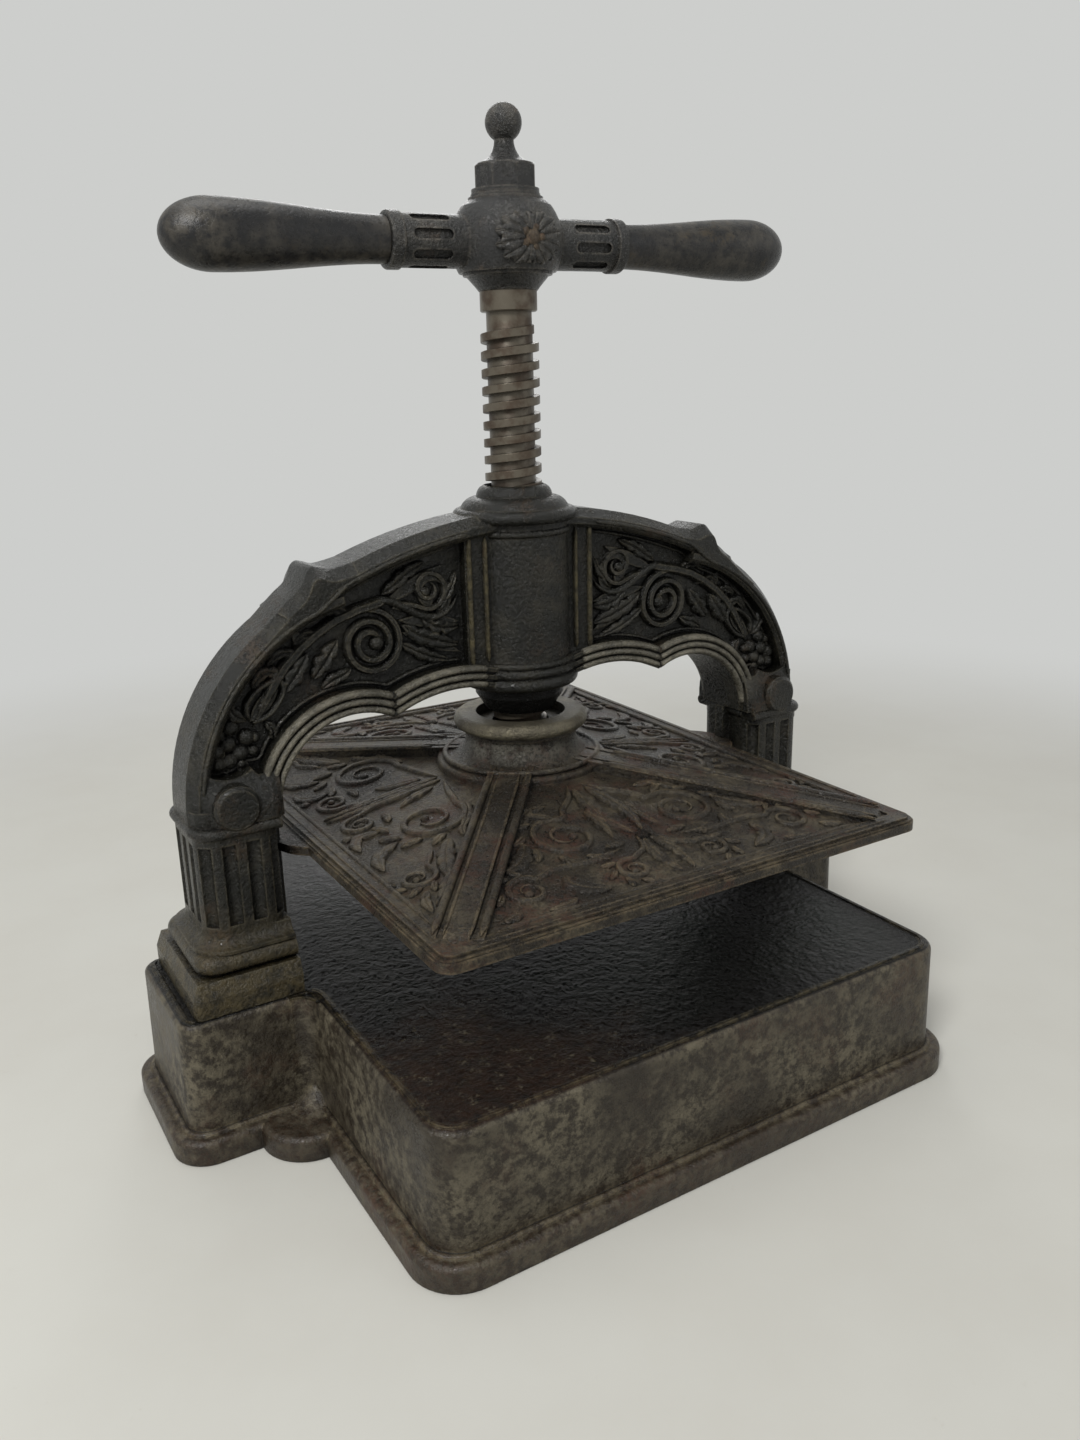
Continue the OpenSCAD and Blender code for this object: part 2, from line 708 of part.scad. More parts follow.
// Round boss over a column's ring, right through the arch, with bevelled edges
module column_disc() {
    half = col_d / 2 + ring_r;
    edge = 2;
    rotate_extrude() polygon([
        [0, -half], [disc_r - edge, -half], [disc_r, edge - half],
        [disc_r, half - edge], [disc_r - edge, half], [0, half]
    ]);
}

// Bevel, round and hollow between a plinth and its shaft
module foot_mouldings(plinth_r) {
    bevel_h = foot_mould_h * 0.3;
    bevel_in = plinth_r * 0.8;
    round_r = foot_mould_h * 0.19;
    round_out = plinth_out_d - 4.5;
    hollow_out = plinth_out_d * 0.5;
    hollow_r = col_corner_r + hollow_out;
    hollow_z = bevel_h + 2 * round_r;
    hollow_h = foot_mould_h - hollow_z;
    column_slab(col_x + plinth_hx, plinth_hy, plinth_r, bevel_h)
        polygon([[0, 0], [plinth_r, 0], [plinth_r - bevel_in, bevel_h], [0, bevel_h]]);
    translate([0, 0, bevel_h])
        column_slab(col_x + col_w / 2 + round_out, col_d / 2 + round_out, col_corner_r, 2 * round_r) {
            square([col_corner_r - round_r, 2 * round_r]);
            translate([col_corner_r - round_r, round_r]) circle(r = round_r);
        }
    translate([0, 0, hollow_z])
        column_slab(col_x + col_w / 2 + hollow_out, col_d / 2 + hollow_out, hollow_r, hollow_h)
            difference() {
                square([hollow_r, hollow_h]);
                translate([hollow_r, hollow_h]) circle(r = hollow_out);
            }
    linear_extrude(height = foot_mould_h) column_plan();
}

// Flutes on the front, back and outer faces of a column, in plan
module flutes() {
    out = flute_r * 0.3;
    for (i = [-1.5 : 1 : 1.5], s = [-1, 1])
        translate([col_x + i * flute_pitch, s * (col_d / 2 + out - corner_drop(abs(i) * flute_pitch))])
            circle(r = flute_r);
    for (i = [-1 : 1])
        translate([col_x + col_w / 2 + out, i * flute_pitch]) circle(r = flute_r);
}

// How far a column's front lies behind its face at distance u from the middle, because of its round corners
function corner_drop(u) =
    let (past = max(u - col_w / 2 + col_corner_r, 0))
    col_corner_r - sqrt(max(col_corner_r * col_corner_r - past * past, 1));

// Places something at the two dowels of the nut
module at_dowels() {
    for (s = [-1, 1])
        translate([0, s * (nut_r + nut_flange_r) / 2, boss_z - nut_flange_h * 0.8]) children();
}

module arch_casting() color(iron_black) {
    difference() {
        union() {
            bridge();
            boss();
            for (s = [0, 1]) mirror([s, 0, 0]) column();
        }
        translate([0, 0, boss_z - 1]) cylinder(r = nut_r + seat_fit, h = nut_top_z - boss_z + 1);
        translate([0, 0, boss_z]) cylinder(r = screw_r + 1, h = cap_z);
        at_dowels() cylinder(r = dowel_r + seat_fit, h = dowel_l + 0.5);
        at_bolts() translate([0, 0, base_h - 1])
            cylinder(r = bolt_r + seat_fit, h = bolt_grip + 3);
    }
}

module frame_bolts() color(steel_grey) {
    head_z = cavity_top - bolt_washer_t - bolt_head_h;
    at_bolts() {
        translate([0, 0, head_z]) cylinder(r = bolt_af / sqrt(3), h = bolt_head_h, $fn = 6);
        translate([0, 0, head_z]) cylinder(r = bolt_r, h = base_h + bolt_grip - head_z);
    }
}

module frame_washers() color(steel_grey) {
    at_bolts() translate([0, 0, cavity_top - bolt_washer_t]) difference() {
        cylinder(r = bolt_washer_r, h = bolt_washer_t);
        translate([0, 0, -1]) cylinder(r = bolt_r + 0.5, h = bolt_washer_t + 2);
    }
}

module screw_nut() color(bronze) {
    taper_r = nut_flange_r - nut_taper_h * 0.65;
    difference() {
        rotate_extrude() polygon([
            [0, nut_z], [taper_r, nut_z], [nut_flange_r, nut_z + nut_taper_h],
            [nut_flange_r, boss_z], [nut_r, boss_z], [nut_r, nut_top_z], [0, nut_top_z]
        ]);
        translate([0, 0, nut_z - 1]) cylinder(r = screw_r + run_fit, h = nut_top_z - nut_z + 2);
        at_dowels() cylinder(r = dowel_r + seat_fit, h = dowel_l + 0.5);
    }
}

module nut_dowels() color(steel_grey) at_dowels() cylinder(r = dowel_r, h = dowel_l);

// Four sloping fields that rise from the rim to the hub
module platen_fields() {
    sink = 1;
    foot = 1 + sink / field_rise;
    top = 0.25;
    rise = field_rise * (1 - top);
    translate([0, 0, field_z]) intersection() {
        rotate([90, 0, 0]) linear_extrude(height = 2 * rib_y * foot, center = true)
            field_section(rib_x, foot, sink, top, rise);
        rotate([90, 0, 90]) linear_extrude(height = 2 * rib_x * foot, center = true)
            field_section(rib_y, foot, sink, top, rise);
    }
}

// Section of the sloping fields, whose rim line is at distance half from the middle
module field_section(half, foot, sink, top, rise) {
    polygon([[-half * foot, -sink], [half * foot, -sink], [half * top, rise], [-half * top, rise]]);
}

// One diagonal rib that falls from the hub to a corner: two edges and a middle band, with grooves between
module platen_rib() {
    edge_w = rib_w * 0.14;
    rib_bar(rib_w, 1);
    rib_bar(rib_w * 0.48, 0);
    for (s = [-1, 1]) translate([0, s * (rib_w - edge_w) / 2, 0]) rib_bar(edge_w, 0);
}

// Bar along a rib, of the given width, with its top drawn down by drop
module rib_bar(w, drop) {
    start = hub_neck_r;
    low = rim_h + 1.5 - drop;
    high = field_rise * (1 - start / hip_l) + rib_h - drop;
    translate([0, 0, field_z]) rotate([90, 0, 0]) linear_extrude(height = w, center = true)
        polygon([[start, -1], [rib_l, -1], [rib_l, low], [start, high]]);
}

// Hub of the platen: a drum with a rounded edge and a bead, a hollow flare and a neck with a rim
module platen_hub() {
    bead_r = 2.6;
    bead_z = field_rise * 0.77 + 1;
    step_z = bead_z + 1.6 * bead_r;
    flare_r = hub_r - hub_neck_r - 2.5 * bead_r;
    flare_z = hub_h + 1 - 2 * bead_r;
    translate([0, 0, field_z - 1]) rotate_extrude() {
        square([hub_r, bead_z]);
        square([hub_r - bead_r, bead_z + bead_r]);
        translate([hub_r - bead_r, bead_z]) quarter_round(bead_r);
        square([hub_r - 2 * bead_r, step_z]);
        translate([hub_r - 2 * bead_r, step_z]) circle(r = bead_r * 0.7);
        difference() {
            square([hub_neck_r + flare_r, flare_z]);
            translate([hub_neck_r + flare_r, flare_z]) circle(r = flare_r);
        }
        square([hub_neck_r, hub_h + 1]);
        translate([0, hub_h + 1 - bead_r]) square([hub_neck_r + bead_r * 0.5, bead_r]);
    }
}

// Edge of the platen, with its upper corner taken off
module platen_edge(r) {
    square([r, platen_t - 1]);
    square([r - 1, platen_t]);
}

module platen_casting() color(iron_brown) {
    lug_r = 30;
    lug_x = platen_w / 2 + lug_reach - lug_r;
    notch_x = inner_x - guide_h - guide_fit;
    difference() {
        union() {
            translate([0, 0, platen_z])
                moulded_slab(platen_w / 2, platen_d / 2, platen_corner_r, platen_t)
                    platen_edge(platen_corner_r);
            translate([0, 0, field_z - 1]) linear_extrude(height = 1 + rim_h) difference() {
                rounded_rect(platen_w / 2 - 3, platen_d / 2 - 3, platen_corner_r - 3);
                rounded_rect(platen_w / 2 - rim_w, platen_d / 2 - rim_w, 2);
            }
            for (sx = [0, 1], sy = [0, 1]) mirror([sx, 0, 0]) mirror([0, sy, 0])
                rotate([0, 0, atan2(rib_y, rib_x)]) platen_rib();
            platen_fields();
            platen_hub();
            for (s = [-1, 1])
                translate([s * lug_x, 0, platen_z]) cylinder(r = lug_r, h = lug_t);
        }
        translate([0, 0, pocket_z]) cylinder(r = foot_r, h = hub_h);
        translate([0, 0, pad_z]) cylinder(r = pivot_r, h = hub_h);
        translate([0, 0, collar_z - end_play]) cylinder(r = spigot_r + seat_fit, h = hub_h);
        grub() cylinder(r = grub_r + seat_fit, h = hub_neck_r);
        for (s = [0, 1]) mirror([s, 0, 0])
            translate([notch_x, -guide_w / 2 - guide_fit, platen_z - 1])
                cube([lug_reach, guide_w + 2 * guide_fit, lug_t + 2]);
    }
}

module platen_collar() color(steel_grey) {
    difference() {
        rotate_extrude() {
            translate([0, collar_z]) square([spigot_r, collar_top_z - collar_z]);
            translate([0, hub_top_z]) square([collar_r - collar_round, 2 * collar_round]);
            translate([collar_r - collar_round, hub_top_z + collar_round]) circle(r = collar_round);
        }
        translate([0, 0, collar_top_z - recess_h]) cylinder(r = recess_r, h = recess_h + 1);
        translate([0, 0, collar_z - 1]) cylinder(r = collar_bore_r, h = collar_top_z - collar_z);
    }
}

// Places something at the grub screw that locks the collar in the hub, pointing out at the back
module grub() {
    translate([0, spigot_r + 0.1, hub_top_z - spigot_h / 2]) rotate([-90, 0, 0]) children();
}

module collar_grub_screw() color(steel_grey) grub() cylinder(r = grub_r, h = hub_neck_r - spigot_r - 0.6);

module thrust_pad() color(bronze)
    translate([0, 0, pad_z]) cylinder(r = pivot_r - seat_fit, h = pad_t);

module screw_spindle() color(steel_grey) {
    translate([0, 0, pivot_z]) cylinder(r = pivot_run_r, h = foot_z - pivot_z + 1);
    translate([0, 0, foot_z]) cylinder(r = foot_run_r, h = foot_t);
    translate([0, 0, foot_z]) cylinder(r = screw_run_r, h = shoulder_z - neck_h - foot_z);
    translate([0, 0, shoulder_z - neck_h - 1]) cylinder(r = neck_r, h = neck_h + 2);
    translate([0, 0, shoulder_z]) cylinder(r = screw_r - 0.5, h = shoulder_h);
    rotate([0, 0, lever_angle]) translate([0, 0, lever_z + bulb_h / 2 - 1])
        cube([square_w, square_w, bulb_h - 2], center = true);
    translate([0, 0, lever_z]) cylinder(r = stud_r, h = stud_top_z - lever_z);
}

// Round hub of the lever with its moulded foot and head
module lever_bulb() {
    foot_top = lever_axis_z - bulb_h * 0.31;
    flange_r = bulb_r * 0.8;
    head_r = bulb_r * 0.66;
    head_h = bulb_h * 0.07;
    rotate_extrude() {
        intersection() {
            translate([0, lever_axis_z]) circle(r = bulb_r);
            polygon([
                [0, foot_top], [bulb_r, foot_top], [bulb_r, lever_axis_z + bulb_h * 0.28],
                [head_r + 1, lever_top_z - head_h], [0, lever_top_z - head_h]
            ]);
        }
        polygon([
            [0, lever_z], [screw_r, lever_z], [screw_r + 1.5, lever_z + 2], [flange_r - 2, foot_top - 2],
            [flange_r, foot_top - 1.5], [flange_r, foot_top + 1], [0, foot_top + 1]
        ]);
        translate([0, lever_axis_z]) square([head_r, bulb_h / 2 - head_h / 2]);
        translate([0, lever_axis_z]) square([head_r - 1.5, bulb_h / 2]);
    }
}

// One socket of the lever, along +X, with slots round it and a lip on its end
module lever_socket() {
    lip_l = 7;
    slot_x = socket_l - lip_l - 5 - slot_l;
    slot_deep = 2;
    difference() {
        rotate([0, 90, 0]) rotate_extrude() {
            square([socket_r, socket_l - 2]);
            translate([0, socket_l - lip_l]) square([socket_r + lip_h, lip_l - 1.5]);
            square([socket_r + lip_h - 1.5, socket_l]);
            translate([socket_r + lip_h - 1.5, socket_l - 1.5]) circle(r = 1.5);
        }
        for (i = [0 : slot_n - 1])
            rotate([10 + i * 360 / slot_n, 0, 0]) translate([slot_x, 0, socket_r - slot_deep]) {
                linear_extrude(height = 2 * slot_deep + lip_h) {
                    translate([slot_w / 2, -slot_w / 2]) square([slot_l - slot_w, slot_w]);
                    for (x = [slot_w / 2, slot_l - slot_w / 2]) translate([x, 0]) circle(r = slot_w / 2);
                }
            }
    }
}

module lever_hub() color(iron_black) {
    difference() {
        union() {
            lever_bulb();
            at_lever() for (s = [0, 180]) rotate([0, 0, s]) lever_socket();
        }
        rotate([0, 0, lever_angle]) translate([0, 0, lever_z + bulb_h / 2])
            cube([square_w + 2 * seat_fit, square_w + 2 * seat_fit, bulb_h + 2], center = true);
        at_lever() for (s = [-1, 1])
            translate([s * socket_l, 0, 0]) rotate([0, -s * 90, 0])
                translate([0, 0, -1]) cylinder(r = tang_r + seat_fit, h = tang_l + 1.5);
        at_grip_pins() cylinder(r = grip_pin_r + seat_fit, h = socket_r + 5);
    }
}

// Places something on the lever's axis, along the lever
module at_lever() {
    translate([0, 0, lever_axis_z]) rotate([0, 0, lever_angle]) children();
}

// Places something at the two pins of the grips, pointing out at the back
module at_grip_pins() {
    at_lever() for (s = [-1, 1])
        translate([s * (socket_l - tang_l / 3), -tang_r * 0.6, 0]) rotate([-90, 0, 0]) children();
}

module lever_washer() color(steel_grey)
    translate([0, 0, lever_top_z]) difference() {
        cylinder(r = washer_r, h = washer_t);
        translate([0, 0, -1]) cylinder(r = stud_r + 0.5, h = washer_t + 2);
    }

module finial_nut() color(steel_grey) {
    corner_r = finial_af / 2 / cos(180 / finial_sides);
    taper_z = finial_z + finial_flat_h;
    neck_z = taper_z + finial_taper_h;
    difference() {
        union() {
            intersection() {
                translate([0, 0, finial_z]) rotate([0, 0, finial_angle])
                    cylinder(r = corner_r, h = finial_flat_h, $fn = finial_sides);
                translate([0, 0, finial_z]) cylinder(r1 = corner_r + finial_flat_h - 1.5, r2 = corner_r - 1.5,
                    h = finial_flat_h);
            }
            rotate_extrude() difference() {
                translate([0, taper_z - 1]) square([finial_af / 2 - 1, ball_z - taper_z + 1]);
                translate([finial_neck_r + finial_taper_h, neck_z]) circle(r = finial_taper_h);
                translate([finial_neck_r, neck_z]) square([finial_af, ball_z - neck_z + 1]);
            }
            translate([0, 0, ball_z]) sphere(r = ball_r);
        }
        translate([0, 0, finial_z - 1]) cylinder(r = stud_r + seat_fit, h = stud_top_z - finial_z + 1.5);
    }
}

// One grip, along +X from the middle of the press
module grip() {
    neck_x = socket_l;
    swell_r = (pow(grip_max_x - neck_x, 2) + pow(grip_r - grip_neck_r, 2)) / (2 * (grip_r - grip_neck_r));
    end_x = lever_l / 2;
    difference() {
        rotate([0, 90, 0]) rotate_extrude() {
            intersection() {
                translate([grip_r - swell_r, grip_max_x]) circle(r = swell_r, $fn = 360);
                translate([0, neck_x]) square([grip_r, grip_max_x - neck_x]);
            }
            intersection() {
                translate([0, grip_max_x]) scale_end();
                translate([0, grip_max_x]) square([grip_r, end_x - grip_max_x]);
            }
            translate([0, neck_x - tang_l]) square([tang_r, tang_l + 1]);
        }
    }
}

// Rounded end of a grip: a flat-sided barrel with a full round
module scale_end() {
    end_l = lever_l / 2 - grip_max_x;
    round_r = grip_r * 0.8;
    square([grip_r - round_r, end_l]);
    square([grip_r, end_l - round_r]);
    translate([grip_r - round_r, end_l - round_r]) circle(r = round_r);
}

module left_grip() color(grip_black) difference() {
    at_lever() rotate([0, 0, 180]) grip();
    at_grip_pins() cylinder(r = grip_pin_r + seat_fit, h = socket_r + 5);
}

module right_grip() color(grip_black) difference() {
    at_lever() grip();
    at_grip_pins() cylinder(r = grip_pin_r + seat_fit, h = socket_r + 5);
}

module grip_pins() color(steel_grey)
    at_grip_pins() cylinder(r = grip_pin_r, h = socket_r + tang_r * 0.6 - 0.3);

base_casting();
arch_casting();
frame_bolts();
frame_washers();
screw_nut();
nut_dowels();
platen_casting();
platen_collar();
collar_grub_screw();
thrust_pad();
screw_spindle();
lever_hub();
lever_washer();
finial_nut();
left_grip();
right_grip();
grip_pins();
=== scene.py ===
"""Looks of an old cast-iron book press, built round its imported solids.

The solids come in as a fixed frame, in metres. This script gives each one a worn iron finish, cuts the
square thread of the screw, turns the lever's grips, lays the cast relief on the arch, the platen and the
lever's hub, and sets the press on a pale studio floor.
"""

import logging
import math
from collections.abc import Callable, Sequence
from dataclasses import dataclass, field
from enum import Enum
from typing import ClassVar

import bpy
from mathutils import Matrix, Vector


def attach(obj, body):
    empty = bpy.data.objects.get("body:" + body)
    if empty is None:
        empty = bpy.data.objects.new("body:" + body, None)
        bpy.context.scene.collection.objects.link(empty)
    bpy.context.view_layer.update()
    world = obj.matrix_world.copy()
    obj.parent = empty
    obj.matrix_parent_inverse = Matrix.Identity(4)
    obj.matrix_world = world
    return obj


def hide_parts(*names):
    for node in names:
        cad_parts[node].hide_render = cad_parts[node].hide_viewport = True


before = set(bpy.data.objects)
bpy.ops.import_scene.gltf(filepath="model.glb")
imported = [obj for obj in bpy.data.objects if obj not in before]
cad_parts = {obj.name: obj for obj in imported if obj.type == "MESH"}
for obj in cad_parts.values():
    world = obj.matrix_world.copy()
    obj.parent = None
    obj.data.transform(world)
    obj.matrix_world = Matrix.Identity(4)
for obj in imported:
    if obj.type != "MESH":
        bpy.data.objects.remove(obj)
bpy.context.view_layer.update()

LOG = logging.getLogger("book_press")
MM = 0.001

# The lever, and the square that drives it, stand turned by this much from the line of the arch.
LEVER_DEG = -4.5

# Noise lies mostly within this spread about its middle.
NOISE_MIDDLE = 0.5
NOISE_SPREAD = 0.4

# Colour sockets of a mix node, whose names it also gives to sockets of other kinds.
MIX_BELOW, MIX_ABOVE, MIX_RESULT = 6, 7, 2

# Spacing of the points along a chain of arcs.
CHAIN_STEP_DEG = 20

BEVEL_SAMPLES = 4
OPENNESS_SAMPLES = 6

Colour = tuple[float, float, float]
Triple = tuple[float, float, float]
Point = tuple[float, float]
Round = tuple[Point, float]
Place = Callable[[float, float, float], Vector]
Socket = bpy.types.NodeSocket
Material = bpy.types.Material
Value = Socket | float


class Body(Enum):
    """Bodies of the press that pieces ride on."""

    FRAME = "frame"
    PLATEN = "platen"
    SPINDLE = "spindle"


class Slot(Enum):
    """Names of material slots, handed along with added pieces; the script does not read them."""

    ARCH = "arch_iron"
    PLATEN = "platen_iron"
    SCREW = "screw_steel"
    LEVER = "lever_iron"
    GRIP = "grip_iron"


class Face(Enum):
    """Faces of the arch and the lever's hub that carry relief: the value is the sign of the outward Y."""

    FRONT = -1
    BACK = 1


class Hand(Enum):
    """Halves of the press: the value is the sign of X."""

    RIGHT = 1
    LEFT = -1


def srgb(red: int, green: int, blue: int) -> Colour:
    """Turns display values into a linear colour.

    Args:
        red: Red from 0 to 255.
        green: Green from 0 to 255.
        blue: Blue from 0 to 255.

    Returns:
        The linear colour.
    """
    shares = [c / 255 for c in (red, green, blue)]
    r, g, b = (c / 12.92 if c <= 0.04045 else ((c + 0.055) / 1.055) ** 2.4 for c in shares)
    return r, g, b


class Graph:
    """Builder for the nodes of one material."""

    def __init__(self, name: str) -> None:
        """Starts a material with a principled shader.

        Args:
            name: Name of the material.
        """
        self.material = bpy.data.materials.new(name)
        self.material.use_nodes = True
        self._tree = self.material.node_tree
        self._tree.nodes.clear()
        self.shader = self.add("ShaderNodeBsdfPrincipled")
        self.output = self.add("ShaderNodeOutputMaterial")
        self.link(self.shader.outputs["BSDF"], self.output.inputs["Surface"])
        self.place = self.add("ShaderNodeTexCoord").outputs["Object"]

    def add(self, kind: str) -> bpy.types.Node:
        """Adds a node of the given kind."""
        return self._tree.nodes.new(kind)

    def link(self, source: Value | Colour, target: Socket) -> None:
        """Links a socket to an input, or sets the input to a constant.

        Args:
            source: Output socket, number or colour.
            target: Input socket.
        """
        if isinstance(source, Socket):
            self._tree.links.new(source, target)
        elif isinstance(source, tuple):
            target.default_value = (*source, 1.0)
        else:
            target.default_value = source

    def noise(self, size_mm: float, seed: float, detail: float = 8.0, fine: float = 0.62) -> Socket:
        """Cloudy noise whose lumps have about the given size.

        Args:
            size_mm: Size of a lump.
            seed: Number that sets one noise apart from another.
            detail: Octaves of finer noise.
            fine: Strength of each finer octave against the one before.

        Returns:
            The noise, mostly from 0.3 to 0.7.
        """
        node = self.add("ShaderNodeTexNoise")
        node.noise_dimensions = "4D"
        self.link(self.place, node.inputs["Vector"])
        node.inputs["W"].default_value = seed
        node.inputs["Scale"].default_value = 1 / (size_mm * MM)
        node.inputs["Detail"].default_value = detail
        node.inputs["Roughness"].default_value = fine
        return node.outputs[0]

    def level(self, value: Value, low: float, high: float, to: Point = (0.0, 1.0)) -> Socket:
        """Soft step of a value from low to high.

        Args:
            value: Socket or number.
            low: Where the step starts.
            high: Where the step ends.
            to: Values before and after the step.

        Returns:
            The stepped value.
        """
        node = self.add("ShaderNodeMapRange")
        node.interpolation_type = "SMOOTHSTEP"
        self.link(value, node.inputs["Value"])
        for key, number in zip(("From Min", "From Max", "To Min", "To Max"), (low, high, *to)):
            node.inputs[key].default_value = number
        return node.outputs["Result"]

    def share(self, value: Value, part: float, soft: float = 0.1) -> Socket:
        """Mask that covers about the given part of a surface.

        Args:
            value: Noise to cut.
            part: Part of the surface, from 0 to 1.
            soft: Half the width of the mask's edge.

        Returns:
            The mask.
        """
        cut = NOISE_MIDDLE + (0.5 - part) * NOISE_SPREAD
        return self.level(value, cut - soft, cut + soft)

    def sums(self, operation: str, first: Value, second: Value) -> Socket:
        """Result of one arithmetic step on two values.

        Args:
            operation: Kind of step, as the maths node names it.
            first: First value.
            second: Second value.

        Returns:
            The result.
        """
        node = self.add("ShaderNodeMath")
        node.operation = operation
        self.link(first, node.inputs[0])
        self.link(second, node.inputs[1])
        return node.outputs[0]

    def times(self, first: Value, second: Value) -> Socket:
        """Product of two values."""
        return self.sums("MULTIPLY", first, second)

    def plus(self, first: Value, second: Value) -> Socket:
        """Sum of two values."""
        return self.sums("ADD", first, second)

    def blend(self, first: Value, second: Value, part: float) -> Socket:
        """Sum of two values that take the given part and the rest."""
        return self.plus(self.times(first, part), self.times(second, 1 - part))

    def mix(self, mask: Value, below: Value | Colour, above: Value | Colour) -> Socket:
        """Colour that goes from below to above with a mask.

        Args:
            mask: Share of the second colour.
            below: First colour.
            above: Second colour.

        Returns:
            The mixed colour.
        """
        node = self.add("ShaderNodeMix")
        node.data_type = "RGBA"
        self.link(mask, node.inputs[0])
        self.link(below, node.inputs[MIX_BELOW])
        self.link(above, node.inputs[MIX_ABOVE])
        return node.outputs[MIX_RESULT]

    def axis(self, letter: str) -> Socket:
        """One coordinate of the surface.

        Args:
            letter: X, Y or Z.

        Returns:
            The coordinate, in metres.
        """
        node = self.add("ShaderNodeSeparateXYZ")
        self.link(self.place, node.inputs[0])
        return node.outputs[letter]

    def rounded(self, radius_mm: float) -> Socket:
        """Normal that runs round the edges.

        Args:
            radius_mm: Radius of the edges.

        Returns:
            The normal.
        """
        node = self.add("ShaderNodeBevel")
        node.samples = BEVEL_SAMPLES
        node.inputs["Radius"].default_value = radius_mm * MM
        return node.outputs[0]

    def edges(self, radius_mm: float) -> Socket:
        """Mask of the edges.

        Args:
            radius_mm: How far from an edge the mask reaches.

        Returns:
            The mask, from 0 to about 0.3.
        """
        dot = self.add("ShaderNodeVectorMath")
        dot.operation = "DOT_PRODUCT"
        self.link(self.rounded(radius_mm), dot.inputs[0])
        self.link(self.add("ShaderNodeNewGeometry").outputs["Normal"], dot.inputs[1])
        return self.sums("SUBTRACT", 1.0, dot.outputs["Value"])

    def openness(self, reach_mm: float) -> Socket:
        """How open the surface is.

        Args:
            reach_mm: How far off other surfaces still count.

        Returns:
            The openness: 1 on a bare face, lower in hollows.
        """
        node = self.add("ShaderNodeAmbientOcclusion")
        node.samples = OPENNESS_SAMPLES
        node.inputs["Distance"].default_value = reach_mm * MM
        return node.outputs["AO"]

    def bump(self, height: Value, depth_mm: float, normal: Socket) -> Socket:
        """Normal of a rough surface.

        Args:
            height: Height of the surface, from 0 to 1.
            depth_mm: Depth from 0 to 1.
            normal: Normal that the roughness is laid on.

        Returns:
            The rough normal.
        """
        node = self.add("ShaderNodeBump")
        node.inputs["Strength"].default_value = 1.0
        node.inputs["Distance"].default_value = depth_mm * MM
        self.link(height, node.inputs["Height"])
        self.link(normal, node.inputs["Normal"])
        return node.outputs[0]

    def set(self, **inputs: Value | Colour) -> None:
        """Sets the shader's inputs: an underscore in a name stands for a space."""
        for name, value in inputs.items():
            self.link(value, self.shader.inputs[name.replace("_", " ")])


